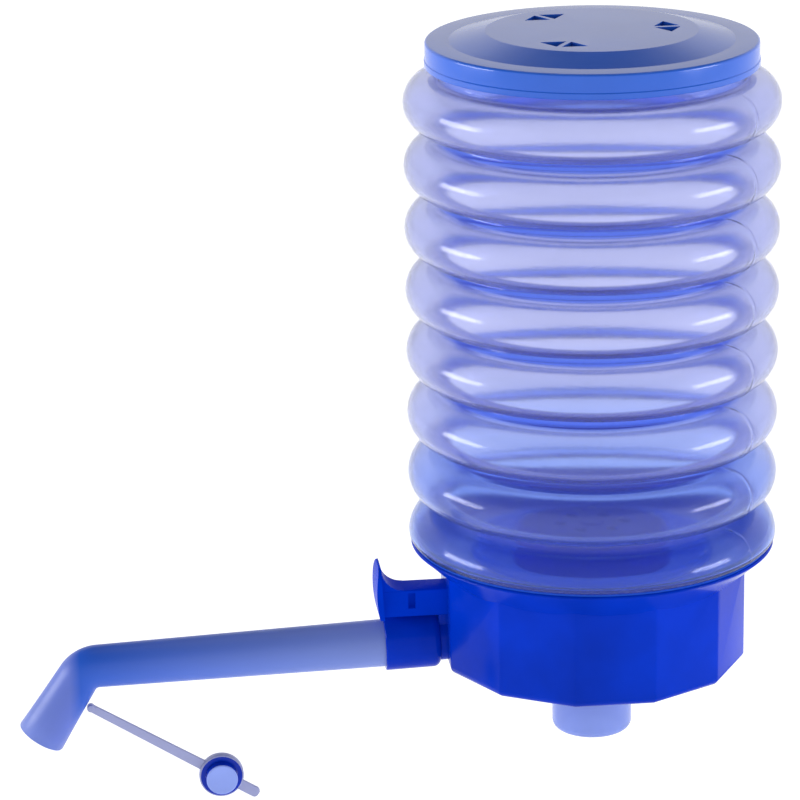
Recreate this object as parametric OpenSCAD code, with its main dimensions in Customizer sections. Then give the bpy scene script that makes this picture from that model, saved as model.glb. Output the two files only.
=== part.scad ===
// Manual bellows pump that stands on the neck of a large water bottle.
// The origin is on the pump's axis at the collar's lower rim, where the bottle's neck goes in.
// +Z points up and the spout points along -X. All sizes are in millimetres.

/* [Bellows] */
// Distance from the dish's rim out to the crests of the folds
crest_out = 0.5; // [0:0.1:3]
// Depth of a groove, below the crests
fold_depth = 9.7; // [8.5:0.1:11]
// Height of the stack of folds, from the lowest crest to the highest
stack_h = 113.4; // [90:0.1:126]
// Number of folds
fold_n = 8; // [6:1:8]
// Height of the straight flank left between the roundings of a crest and a groove
flank_h = 0.1; // [0.1:0.1:1]
// Rounding at the bottom of a groove
groove_round = 1.2; // [0.8:0.1:1.4]
// Wall of the bellows
bellows_wall = 1.1; // [0.7:0.1:1.5]
// Height of the lowest crest above the dish's rim
foot_crest_h = 2.1; // [1.8:0.1:3]
// Distance from the bottoms of the grooves out to the bellows' mouth, under the cap
mouth_step = 1.4; // [0:0.1:4]
// Length of the bellows' mouth above the top fold
mouth_h = 4.6; // [4:0.1:6]

/* [Cap] */
// Distance from the bellows' mouth out to the cap's skirt
cap_out = 2.8; // [2.5:0.1:5]
// Height of the cap's skirt
cap_skirt_h = 6.2; // [5:0.1:7]
// Wall of the cap
cap_wall = 1.5; // [1.1:0.1:2]
// Width of the flat rim round the slope
cap_rim_w = 6.2; // [4:0.1:9]
// Width of the slope round the raised flat that the hand presses
cap_slope_w = 9.2; // [5:0.1:13]
// Height of the raised flat above the cap's rim
dome_h = 2.3; // [1:0.1:4]
// Radius on which the vents lie
vent_ring_r = 19; // [14:0.5:21]
// Length of one pair of vents, across the radius
vent_l = 11; // [6:0.5:13]
// Width of a vent, along the radius
vent_w = 5.2; // [3:0.1:7]
// Bar left between the two vents of a pair
vent_bar = 1.3; // [0.8:0.1:2]

/* [Collar] */
// Radius of the bore that the bottle's neck goes into
neck_r = 28.5; // [26:0.1:31]
// Distance from that bore out to the collar's twelve flat sides
collar_room = 10; // [9.2:0.1:12]
// Height of the collar's flat sides
collar_h = 25; // [24:0.5:32]
// Wall of the collar
collar_wall = 2.6; // [2.4:0.1:3]
// Rounding of the collar's lower edge
collar_round = 2.2; // [1:0.1:2.3]
// Wall of the sleeve round that bore
neck_wall = 1.8; // [1.2:0.1:2.2]
// Thickness of the collar's deck
deck_t = 2; // [1.5:0.1:3]
// Distance from the collar's flat sides out to the rim of the dish that holds the bellows' foot
dish_flare = 8.5; // [7:0.1:11]
// Height of the dish's rim above the deck's underside
dish_h = 8.1; // [7.5:0.1:10]
// Wall of the dish, measured upright
dish_wall = 2.1; // [1.5:0.1:2.5]

/* [Water way] */
// Radius of the stub that takes the dip tube
stub_r = 10.4; // [9.8:0.1:12]
// Length of the stub below the collar
stub_l = 20.6; // [12:0.1:30]
// Bore of the stub, which the dip tube pushes into
tube_r = 8; // [6:0.1:8.4]
// Depth of that bore
tube_depth = 26; // [15:0.5:30]
// Bore of the water way above the dip tube
water_r = 5.4; // [3:0.1:5.8]
// Radius of the arm that carries water to the collar's side
arm_r = 4.8; // [4:0.1:5]
// Bore of that arm
arm_bore_r = 3.6; // [2.5:0.1:3.8]
// Angle between the arm and the spout, seen from above
arm_turn = 24; // [23:0.5:26]

/* [Spout] */
// Radius of the socket that the spout turns in
socket_r = 7.25; // [7:0.05:8]
// Length of the socket outside the collar
socket_l = 16.3; // [14:0.1:20]
// Height of the socket's axis where it meets the collar
socket_z = 6.3; // [6:0.1:7]
// Fall of the socket and the spout, in degrees
spout_fall = 1.7; // [0:0.1:4]
// Radius of the spout where it enters the socket
spout_r = 6.2; // [5.8:0.05:6.4]
// Radius of the spout at its bend
spout_bend_r = 5.55; // [5.2:0.05:5.8]
// Distance from the socket's mouth to the bend's corner
spout_l = 78; // [60:0.5:90]
// Wall of the spout
spout_wall = 1.25; // [0.9:0.05:1.4]
// Turn of the spout at its bend, in degrees
bend_turn = 55.5; // [40:0.5:70]
// Distance from the bend's corner to the spout's mouth
leg_l = 22.4; // [18:0.1:30]
// Radius of the spout at its mouth
lip_r = 6.4; // [6:0.05:7]

/* [Cap strap] */
// Length of the strap from the spout to the plug's middle
strap_l = 39.3; // [30:0.1:48]
// Fall of the strap, in degrees
strap_fall = 32; // [25:0.5:45]
// Thickness of the strap
strap_t = 1; // [0.7:0.1:1.3]
// Width of the strap at the spout
strap_w = 2; // [1.6:0.1:2.4]
// Width of the strap at the plug
strap_end_w = 2.8; // [2.4:0.1:3.4]
// Radius of the ring at the strap's end, and of the plug's rim
ring_r = 5.85; // [5.5:0.05:7]
// Length of the pull tab past the ring
tab_l = 5.5; // [3:0.1:8]

/* [Release button] */
// Width of the button's stem
stem_w = 8; // [7:0.1:8.6]
// Height of the button's stem
stem_h = 7.2; // [6.6:0.1:7.4]
// Height of the stem's middle above the collar's lower rim
stem_z = 17.8; // [17.7:0.05:17.9]
// Distance from the collar's side to the button's pad
stem_l = 13; // [11:0.1:16]
// Height of the button's pad
pad_h = 14; // [12:0.1:16]
// Width of the button's pad
pad_w = 12.5; // [10:0.1:15]
// Thickness of the button's pad at its middle
pad_t = 5.4; // [4:0.1:6.5]
// Travel of the button
press_travel = 2; // [1:0.1:2.2]
// Wire of the button's spring
spring_wire = 0.6; // [0.4:0.05:0.7]
// Turns of the button's spring
spring_turns = 6; // [4:1:7]

/* [Valves and seals] */
// Radius of the valve turret that stands inside the bellows
turret_r = 20; // [19:0.1:23]
// Height of the turret above the deck
turret_h = 9; // [7.5:0.1:12]
// Wall of the turret
turret_wall = 1.5; // [1.1:0.1:2]
// Radius of a valve's rubber flap
flap_r = 12.5; // [11.5:0.1:13.5]
// Thickness of a valve's rubber flap
flap_t = 1; // [0.6:0.1:1.4]
// Travel of a valve's rubber flap
flap_travel = 1.5; // [0.8:0.1:2]
// Radius of the ring of air holes in a valve
hole_ring_r = 8.5; // [7:0.1:9.5]
// Radius of one air hole
hole_r = 1.7; // [1:0.1:2]
// Air holes in a valve
hole_n = 6; // [4:1:8]
// Radius of the pins that hold the flaps
pin_r = 1.6; // [1.2:0.1:2]
// Thickness of the flat seals
seal_t = 1.2; // [0.8:0.1:1.6]
// Thickness of the ring that seals the bottle's mouth
neck_seal_t = 1.6; // [1:0.1:2]
// Thickness of the inlet valve's plate
plate_t = 1.4; // [1:0.1:2]
// Height at which the bottle's mouth meets its seal
grip_h = 10.6; // [9:0.1:11]

/* [Hidden] */
$fn = 96;

// Overrun of a cut past the face that it opens
over = 1;
// Gap between pieces that move past each other
clear = 0.3;
// Radial clearance of a running fit
run = 0.05;
// Radial clearance of pieces pushed together once
seat = 0.1;
// Facets of a full turn on outlines worked out as points
arc_n = 48;

// Radii, from the bottle's neck outward
collar_side_r = neck_r + collar_room;
collar_w = 2 * collar_side_r;
dish_r = collar_side_r + dish_flare;
crest_r = dish_r + crest_out;
groove_r = crest_r - fold_depth;
mouth_r = groove_r + mouth_step;
cap_r = mouth_r + cap_out;
dome_foot_r = cap_r - cap_rim_w;
dome_r = dome_foot_r - cap_slope_w;

// One fold
fold_h = stack_h / (fold_n - 1);
crest_round = fold_h / 2 - groove_round - flank_h;

// Levels, from the collar upward
deck_z = collar_h;
floor_z = deck_z + deck_t;
rim_z = deck_z + dish_h;
low_crest_z = rim_z + foot_crest_h;
top_crest_z = low_crest_z + (fold_n - 1) * fold_h;
lip_z = top_crest_z + crest_round + mouth_h;
plate_z = lip_z + seal_t;
cap_under_z = plate_z + plate_t;
cap_top_z = cap_under_z + cap_wall;
cap_low_z = cap_top_z - cap_skirt_h;
dome_z = cap_top_z + dome_h;

// Collar
function corner_r(side_r) = side_r / cos(180 / 12);
rib_t = 1.4;
rib_low_z = 1.2;
sleeve_r = neck_r + neck_wall;
lug_n = 4;
lug_w = 9;
lug_h = 2.4;
lug_in = 1;
lug_z = 2;
dish_foot_r = collar_side_r + 0.1 * collar_wall;
dish_slope = dish_h / (dish_r - dish_foot_r);
// Outer surface of the dish at a given radius, as a height
function dish_z(r) = deck_z + (r - dish_foot_r) * dish_slope;
dish_in_r = dish_r - dish_wall / dish_slope;
dish_floor_r = dish_foot_r + (deck_t - dish_wall) / dish_slope;
well_r = turret_r - 3 * turret_wall;
seat_ring_wall = 1.5;
seat_ring_h = 4.6;
bead = 0.6;

// Bellows: the flank between a crest and a groove is the line that touches both roundings
round_sum = crest_round + groove_round;
round_rise = round_sum - (crest_r - groove_r);
flank_reach = norm([fold_h / 2, round_rise]);
flank = atan2(round_rise, fold_h / 2) + acos(round_sum / flank_reach);
foot_round = foot_crest_h - clear;
foot_low_z = floor_z + seal_t;
foot_in_r = sleeve_r + clear + bead;
function arc(c, r, a0, a1, n) = [for (i = [0:n]) c + r * [cos(a0 + (a1 - a0) * i / n), sin(a0 + (a1 - a0) * i / n)]];
function crest_c(i) = [crest_r - crest_round, top_crest_z - i * fold_h];
function groove_c(i) = [groove_r + groove_round, top_crest_z - (i + 1 / 2) * fold_h];
// One side of the bellows' wall, inset from the outer one, from the mouth down to the foot
function fold_side(inset) = concat(
    [[mouth_r - inset, lip_z], [mouth_r - inset, crest_c(0)[1] + crest_reach_z(inset)]],
    [for (i = [0:fold_n - 2]) each concat(
        arc(crest_c(i), crest_round - inset, i == 0 ? mouth_angle(inset) : 90 - flank, flank - 90, arc_n / 3),
        arc(groove_c(i), groove_round + inset, 90 + flank, 270 - flank, arc_n / 4))],
    arc(crest_c(fold_n - 1), crest_round - inset, 90 - flank, 0, arc_n / 6),
    arc([crest_r - foot_round, low_crest_z], foot_round - inset, 0, -90, arc_n / 6));
// Where the mouth's wall meets the top crest's rounding, or the flat inside it
function mouth_angle(inset) = mouth_r - inset < crest_c(0)[0] ? 90
    : acos((mouth_r - inset - crest_c(0)[0]) / (crest_round - inset));
function crest_reach_z(inset) = (crest_round - inset) * sin(mouth_angle(inset));
foot_gap = clear * norm([1, dish_slope]);
foot_flat_r = dish_foot_r + (foot_low_z - deck_z - dish_wall - foot_gap) / dish_slope;
foot_bend_r = dish_foot_r + (rim_z + clear - deck_z - dish_wall - foot_gap) / dish_slope;

// Water way
arm_z = deck_z - arm_r - clear;
flange_z = grip_h + neck_seal_t;
flange_t = 1.6;
flange_r = neck_r - clear;
head_wall = 2.2;
head_r = water_r + head_wall;
head_top_z = deck_z - clear;
tube_stop_z = tube_depth - stub_l;
stub_round = stub_r - tube_r - clear;
arm_end_r = sleeve_r - clear;
arm_groove = 0.7;
neck_seal_w = 7.2;
fin_n = 4;
fin_t = 1.6;
pocket_floor_z = 1.3;
pocket_past_socket = 12;
pocket_past_arm = 9;
pocket_tall_half = 8.5;
pocket_wall = 4;
pocket_in_r = sleeve_r;
pocket_out_r = collar_side_r - collar_wall - clear;

// Release button
guide_gap = 0.15;
guide_wall = 1.4;
stem_in_r = collar_side_r - 0.6 * collar_wall;
pad_in_r = collar_side_r + stem_l;
pad_out_r = pad_in_r + pad_t;
chamber_l = press_travel + seat;
shoulder_r = sleeve_r + chamber_l;
shoulder_t = 1;
shaft_r = 1.3;
shaft_hole_r = 2.1;
chamber_r = 3.4;
washer_r = 2.9;
washer_t = 0.8;
window_l = 1.9;
window_h = 4.2;
window_low = 1.4;
window_at = pad_in_r - 2.5 * window_l;
clip_t = 0.6;
clip_r = 2.4;
spring_pocket_r = 3;
spring_pocket_l = 8;
spring_r = 2.3;
spring_low_r = shoulder_r + shoulder_t + spring_wire / 2 + seat;
spring_high_r = stem_in_r + spring_pocket_l - spring_wire / 2 - seat;
pocket_low_top_z = stem_z - stem_h / 2 - guide_gap - guide_wall;

// Spout
socket_bore_r = spout_r + run;
socket_depth = 13;
socket_neck_r = 5.7;
socket_neck_l = 1.8;
socket_round = 2;
water_port_r = 4.2;
socket_floor = socket_l - socket_depth;
spout_in_l = socket_depth - clear;
spout_bore_r = spout_bend_r - spout_wall;
spout_groove_w = 1.7;
spout_groove_d = 0.8;
spout_groove_at = 5;
bend_x = socket_l + spout_l;

// Cap strap: its root lies under the bend, on the leg's inner side
root_r = strap_t;
root_down = 9;
root_leg_r = spout_bend_r + (lip_r - spout_bend_r) * root_down / leg_l;
root_gap = clear;
plug_r = 4.1;
plug_l = 3.8;
plug_rim_t = 2.4;
ring_in_r = plug_r + run;

// A frame whose +X leaves the collar along the socket's axis
module socket_frame() {
    translate([-collar_side_r, 0, socket_z])
        rotate([0, 0, 180])
            rotate([0, spout_fall, 0])
                children();
}

// A frame whose +X leaves the pump's axis along the button's stem
module button_frame() {
    translate([0, 0, stem_z])
        rotate([0, 0, 180])
            children();
}

// A frame whose +X leaves the pump's axis along the water arm
module arm_frame() {
    translate([0, 0, arm_z])
        rotate([0, 0, 180 + arm_turn])
            children();
}

// A frame at the spout's bend whose +X runs down the leg to the mouth
module leg_frame() {
    socket_frame()
        translate([bend_x, 0, 0])
            rotate([0, bend_turn, 0])
                children();
}

// A frame at the strap's root whose +X runs along the strap to the plug
module strap_frame() {
    leg_frame()
        translate([root_down, 0, 0])
            translate([0, 0, -root_leg_r - root_gap - root_r])
                rotate([0, 180 - bend_turn - spout_fall - strap_fall, 0])
                    children();
}

// A rod along +X from x0 to x1
module rod(x0, x1, r0, r1) {
    translate([x0, 0, 0])
        rotate([0, 90, 0])
            cylinder(h = x1 - x0, r1 = r0, r2 = r1);
}

// A flat ring
module washer(z, h, r_out, r_in) {
    translate([0, 0, z])
        difference() {
            cylinder(h = h, r = r_out);
            translate([0, 0, -over])
                cylinder(h = h + 2 * over, r = r_in);
        }
}

// A ring of round section
module o_ring(mid_r, section_r) {
    rotate_extrude()
        translate([mid_r, 0])
            circle(r = section_r, $fn = 24);
}

// A wedge-shaped block between two radii and two angles from the spout's direction
module sector(r_in, r_out, z0, z1, a0, a1) {
    rotate([0, 0, 180 + a0])
        rotate_extrude(angle = a1 - a0)
            translate([r_in, z0])
                square([r_out - r_in, z1 - z0]);
}

module twelve_sided(z0, z1, side_r) {
    translate([0, 0, z0])
        rotate([0, 0, 180 / 12])
            cylinder(h = z1 - z0, r = corner_r(side_r), $fn = 12);
}

module hole_ring(z0, z1) {
    for (i = [0:hole_n - 1])
        rotate([0, 0, 360 * i / hole_n])
            translate([hole_ring_r, 0, z0])
                cylinder(h = z1 - z0, r = hole_r, $fn = 32);
}

// Two vents of a pair: triangles set head to foot with a slanting bar between them
module vent_pair() {
    half = vent_l / 2;
    top = vent_w / 2;
    slant = vent_l / 8;
    for (turn = [0, 180])
        rotate([0, 0, turn])
            polygon([[vent_bar / 2 - slant, -top], [half, -top], [vent_bar / 2 + slant, top]]);
}

module press_cap() {
    color("royalblue")
        difference() {
            rotate_extrude()
                polygon(concat(
                    [[0, dome_z], [dome_r, dome_z]],
                    [[dome_foot_r, cap_top_z], [cap_r - cap_wall / 2, cap_top_z]],
                    [[cap_r, cap_top_z - cap_wall / 2], [cap_r, cap_low_z]],
                    [[mouth_r + bead + clear, cap_low_z], [mouth_r + bead + clear, cap_low_z + bead]],
                    [[cap_r - cap_wall, cap_low_z + 2 * bead], [cap_r - cap_wall, cap_under_z]],
                    [[dome_foot_r - cap_wall, cap_under_z], [dome_r - cap_wall / 2, dome_z - cap_wall]],
                    [[0, dome_z - cap_wall]]));
            for (turn = [2, 122, 242])
                rotate([0, 0, turn])
                    translate([vent_ring_r, 0, cap_under_z])
                        rotate([0, 0, 90])
                            linear_extrude(height = dome_z - cap_under_z + over)
                                vent_pair();
        }
}

module inlet_valve_plate() {
    color("lightsteelblue")
        difference() {
            translate([0, 0, plate_z])
                cylinder(h = plate_t, r = cap_r - cap_wall - seat);
            hole_ring(plate_z - over, cap_under_z + over);
            translate([0, 0, plate_z - over])
                cylinder(h = plate_t + 2 * over, r = pin_r + run);
        }
}

module flap(top_z) {
    washer(top_z - flap_t, flap_t, flap_r, pin_r + run);
}

// A headed pin that hangs through a plate: the head below stops the flap, the cap above holds the pin
module flap_pin(plate_low_z, plate_high_z) {
    stop_z = plate_low_z - flap_t - flap_travel - clear;
    union() {
        translate([0, 0, stop_z])
            cylinder(h = plate_high_z - stop_z, r = pin_r);
        translate([0, 0, stop_z - pin_r])
            cylinder(h = pin_r, r = 2 * pin_r);
        translate([0, 0, plate_high_z])
            cylinder(h = pin_r / 2, r = 2 * pin_r);
    }
}

module inlet_flap() {
    color("dimgray")
        flap(plate_z - run);
}

module inlet_flap_pin() {
    color("white")
        flap_pin(plate_z, cap_under_z);
}

module mouth_gasket() {
    color("gainsboro")
        washer(lip_z + run, seal_t - run, cap_r - cap_wall - seat, mouth_r - 2 * bellows_wall);
}

module bellows() {
    color([0.72, 0.76, 0.95, 0.55])
        rotate_extrude()
            polygon(concat(
                [[mouth_r + bead, lip_z], [mouth_r + bead, lip_z - bead], [mouth_r, lip_z - 2 * bead]],
                [for (i = [1:len(fold_side(0)) - 1]) fold_side(0)[i]],
                [[foot_bend_r, rim_z + clear], [foot_flat_r, foot_low_z]],
                [[foot_in_r, foot_low_z], [foot_in_r, foot_low_z + bellows_wall]],
                [[foot_flat_r - bellows_wall / 2, foot_low_z + bellows_wall]],
                [[foot_bend_r - bellows_wall / 2, rim_z + clear + bellows_wall]],
                [for (i = [len(fold_side(bellows_wall)) - 1:-1:0]) fold_side(bellows_wall)[i]]));
}

module foot_gasket() {
    color("gainsboro")
        washer(floor_z, seal_t - run, dish_floor_r - clear, sleeve_r + clear);
}

// The collar's outside: flat sides with a rounded lower edge, and the dish above them
module collar_outside() {
    union() {
        difference() {
            twelve_sided(0, floor_z, collar_side_r);
            // The rounded lower edge, side by side
            for (i = [0:11])
                rotate([0, 0, 360 * i / 12])
                    translate([collar_side_r - collar_round, -collar_w / 4, 0])
                        difference() {
                            translate([0, 0, -over])
                                cube([collar_round + over, collar_w / 2, collar_round + over]);
                            translate([0, -over, collar_round])
                                rotate([-90, 0, 0])
                                    cylinder(h = collar_w / 2 + 2 * over, r = collar_round);
                        }
        }
        rotate_extrude()
            polygon([[0, deck_z], [dish_foot_r, deck_z], [dish_r, rim_z - bead], [dish_r, rim_z], [0, rim_z]]);
        // The socket: a round body on a narrower neck
        socket_frame() {
            rod(-collar_wall, socket_l / 2, socket_neck_r, socket_neck_r);
            rotate([0, 90, 0])
                rotate_extrude()
                    polygon(concat(
                        [[0, socket_neck_l]],
                        arc([socket_r - socket_round, socket_neck_l + socket_round], socket_round, -90, 0, 8),
                        [[socket_r, socket_l - run], [socket_r - run, socket_l], [0, socket_l]]));
        }
    }
}

// The room inside the collar, between the neck's sleeve and the outer wall
module collar_hollow() {
    difference() {
        twelve_sided(-over, deck_z, collar_side_r - collar_wall);
        translate([0, 0, -2 * over])
            cylinder(h = deck_z + 3 * over, r = sleeve_r);
        for (i = [0:11])
            rotate([0, 0, 180 / 12 + 360 * i / 12])
                translate([0, -rib_t / 2, rib_low_z])
                    cube([collar_w, rib_t, deck_z]);
        // The walls of the water pocket
        sector(neck_r, collar_w, -2 * over, deck_z + over,
            -pocket_past_socket - pocket_wall, arm_turn + pocket_past_arm + pocket_wall);
    }
}

// The water pocket: low behind the socket, then up beside the button to the arm
module water_pocket() {
    sector(pocket_in_r, pocket_out_r, pocket_floor_z, pocket_low_top_z,
        -pocket_past_socket, arm_turn + pocket_past_arm);
    sector(pocket_in_r + seat, pocket_out_r - seat, pocket_low_top_z - over, deck_z - clear,
        arm_turn - pocket_tall_half, arm_turn + pocket_tall_half);
}

module base_collar() {
    color("mediumblue")
        union() {
            difference() {
                collar_outside();
                collar_hollow();
                // The dish, its floor and the well under the turret
                rotate_extrude()
                    polygon([[0, floor_z], [dish_floor_r, floor_z], [dish_in_r, rim_z], [dish_in_r, rim_z + over],
                        [0, rim_z + over]]);
                translate([0, 0, deck_z - over])
                    cylinder(h = deck_t + 2 * over, r = well_r);
                // The bore for the bottle's neck
                translate([0, 0, -over])
                    cylinder(h = deck_z + over, r = neck_r);
                water_pocket();
                // The socket's bore and its way into the pocket
                socket_frame() {
                    rod(socket_floor, socket_l + over, socket_bore_r, socket_bore_r);
                    rod(-collar_wall - clear - over, socket_floor + over, water_port_r, water_port_r);
                }
                // The hole for the water arm
                arm_frame()
                    rod(neck_r - over, sleeve_r + over, arm_r + run, arm_r + run);
                // The guide for the button's stem, the hole for its shaft and the valve's chamber
                button_frame() {
                    translate([shoulder_r + shoulder_t, -stem_w / 2 - guide_gap, -stem_h / 2 - guide_gap])
                        cube([collar_w, stem_w + 2 * guide_gap, stem_h + 2 * guide_gap]);
                    rod(neck_r - over, collar_side_r, shaft_hole_r, shaft_hole_r);
                    rod(neck_r - over, shoulder_r, chamber_r, chamber_r);
                }
            }
            // The ring that the bellows' foot snaps over
            rotate_extrude()
                polygon([[sleeve_r - seat_ring_wall, floor_z], [sleeve_r, floor_z],
                    [sleeve_r, foot_low_z + bellows_wall + clear], [sleeve_r + bead, foot_low_z + bellows_wall + 2 * clear],
                    [sleeve_r, foot_low_z + bellows_wall + 3 * clear + bead], [sleeve_r, floor_z + seat_ring_h],
                    [sleeve_r - seat_ring_wall, floor_z + seat_ring_h]]);
            // Lugs that snap under the bead of the bottle's neck
            for (i = [0:lug_n - 1])
                rotate([0, 0, 45 + 360 * i / lug_n])
                    intersection() {
                        translate([0, -lug_w / 2, lug_z])
                            cube([collar_w, lug_w, lug_h]);
                        washer(lug_z, lug_h, sleeve_r - neck_wall / 2, neck_r - lug_in);
                    }
        }
}

module valve_turret() {
    color("blue")
        difference() {
            rotate_extrude()
                polygon(concat(
                    [[0, floor_z + turret_h]],
                    arc([turret_r - 2 * turret_wall, floor_z + turret_h - 2 * turret_wall], 2 * turret_wall, 90, 0, 8),
                    [[turret_r, floor_z], [well_r - seat, floor_z], [well_r - seat, floor_z - deck_t]],
                    [[well_r - seat - turret_wall, floor_z - deck_t], [well_r - seat - turret_wall, floor_z + turret_wall]],
                    [[turret_r - turret_wall, floor_z + 2 * turret_wall]],
                    arc([turret_r - 2 * turret_wall, floor_z + turret_h - 2 * turret_wall], turret_wall, 0, 90, 6),
                    [[0, floor_z + turret_h - turret_wall]]));
            hole_ring(floor_z + turret_h - turret_wall - over, floor_z + turret_h + over);
            translate([0, 0, floor_z + turret_h - turret_wall - over])
                cylinder(h = turret_wall + 2 * over, r = pin_r + run);
        }
}

module outlet_flap() {
    color("dimgray")
        flap(floor_z + turret_h - turret_wall - run);
}

module outlet_flap_pin() {
    color("white")
        flap_pin(floor_z + turret_h - turret_wall, floor_z + turret_h);
}

module neck_seal() {
    color("gainsboro")
        washer(grip_h, neck_seal_t, flange_r, flange_r - neck_seal_w);
}

// The piece that takes the dip tube: stub, flange and head in one, with the arm that carries water sideways
module tube_socket() {
    color("slateblue")
        difference() {
            union() {
                rotate_extrude()
                    polygon(concat(
                        [[0, flange_z]],
                        [[0, stub_round - stub_l]],
                        [[0, -stub_l]],
                        arc([stub_r - stub_round, stub_round - stub_l], stub_round, -90, 0, 8),
                        [[stub_r, flange_z]]));
                washer(flange_z, flange_t, flange_r, head_r - over);
                translate([0, 0, flange_z - over])
                    cylinder(h = head_top_z - flange_z + over, r = head_r);
                arm_frame()
                    rod(0, arm_end_r, arm_r, arm_r);
                // Fins that carry the flange up to the deck
                for (i = [0:fin_n - 1])
                    rotate([0, 0, 180 + arm_turn + 45 + 360 * i / fin_n])
                        translate([head_r - over, -fin_t / 2, flange_z + flange_t / 2])
                            cube([flange_r - head_r, fin_t, deck_z - flange_z - flange_t / 2]);
            }
            translate([0, 0, -stub_l - over])
                cylinder(h = tube_depth + over, r = tube_r);
            translate([0, 0, -stub_l])
                cylinder(h = stub_l + arm_z + arm_bore_r, r = water_r);
            arm_frame()
                rod(0, arm_end_r + over, arm_bore_r, arm_bore_r);
            // The groove for the arm's seal
            arm_frame()
                difference() {
                    rod(sleeve_r - neck_wall, sleeve_r - 2 * clear, arm_r + over, arm_r + over);
                    rod(0, sleeve_r, arm_r - arm_groove, arm_r - arm_groove);
                }
            // Air holes in the flange, between the fins
            for (i = [0:fin_n - 1], side = [-1, 1])
                rotate([0, 0, 180 + arm_turn + side * 26 + 360 * i / fin_n])
                    translate([(stub_r + flange_r) / 2 - hole_r, 0, flange_z - over])
                        cylinder(h = flange_t + 2 * over, r = hole_r, $fn = 32);
        }
}

module arm_o_ring() {
    color("dimgray")
        arm_frame()
            translate([sleeve_r - (neck_wall + 2 * clear) / 2, 0, 0])
                rotate([0, 90, 0])
                    o_ring(arm_r - arm_groove / 2 + run / 2, arm_groove / 2 - run);
}

module spout() {
    color([0.42, 0.47, 0.85])
        difference() {
            union() {
                socket_frame() {
                    rod(socket_l - spout_in_l, socket_l, spout_r, spout_r);
                    rod(socket_l, bend_x, spout_r, spout_bend_r);
                    translate([bend_x, 0, 0])
                        rotate([0, 90, 0])
                            sphere(r = spout_bend_r + run);
                }
                leg_frame()
                    rod(0, leg_l, spout_bend_r, lip_r);
            }
            socket_frame() {
                rod(socket_l - spout_in_l - over, bend_x, spout_bore_r, spout_bore_r);
                translate([bend_x, 0, 0])
                    rotate([0, 90, 0])
                        sphere(r = spout_bore_r + run);
                // The groove for the spout's seal
                difference() {
                    rod(socket_l - spout_groove_at - spout_groove_w, socket_l - spout_groove_at,
                        spout_r + over, spout_r + over);
                    rod(0, socket_l, spout_r - spout_groove_d, spout_r - spout_groove_d);
                }
            }
            leg_frame()
                rod(0, leg_l + over, spout_bore_r, spout_bore_r);
        }
}

module spout_o_ring() {
    color("dimgray")
        socket_frame()
            translate([socket_l - spout_groove_at - spout_groove_w / 2, 0, 0])
                rotate([0, 90, 0])
                    o_ring(spout_r - spout_groove_d / 2, spout_groove_d / 2);
}

// The strap lies in the spout's plane, with its broad side along Y
module cap_strap() {
    color([0.78, 0.8, 0.92])
        strap_frame()
            rotate([90, 0, 0])
                difference() {
                    union() {
                        cylinder(h = strap_w, r = root_r, center = true, $fn = 32);
                        translate([0, 0, -strap_t / 2])
                            linear_extrude(height = strap_t)
                                polygon([[0, -strap_w / 2], [strap_l, -strap_end_w / 2],
                                    [strap_l + ring_r + tab_l, -strap_end_w / 2], [strap_l + ring_r + tab_l, strap_end_w / 2],
                                    [strap_l, strap_end_w / 2], [0, strap_w / 2]]);
                        translate([strap_l, 0, -plug_rim_t / 2])
                            cylinder(h = plug_rim_t, r = ring_r);
                    }
                    translate([strap_l, 0, -plug_rim_t / 2 - over])
                        cylinder(h = plug_rim_t + 2 * over, r = ring_in_r);
                }
}

module spout_plug() {
    color("mediumblue")
        strap_frame()
            translate([strap_l, 0, 0])
                rotate([-90, 0, 0])
                    difference() {
                        translate([0, 0, -plug_rim_t / 2])
                            union() {
                                cylinder(h = plug_rim_t + plug_l - plug_r / 8, r = plug_r);
                                translate([0, 0, plug_rim_t + plug_l - plug_r / 8])
                                    cylinder(h = plug_r / 8, r1 = plug_r, r2 = plug_r * 7 / 8);
                            }
                        translate([0, 0, plug_rim_t / 4])
                            cylinder(h = plug_rim_t + plug_l, r = plug_r * 5 / 8);
                    }
}

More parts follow.
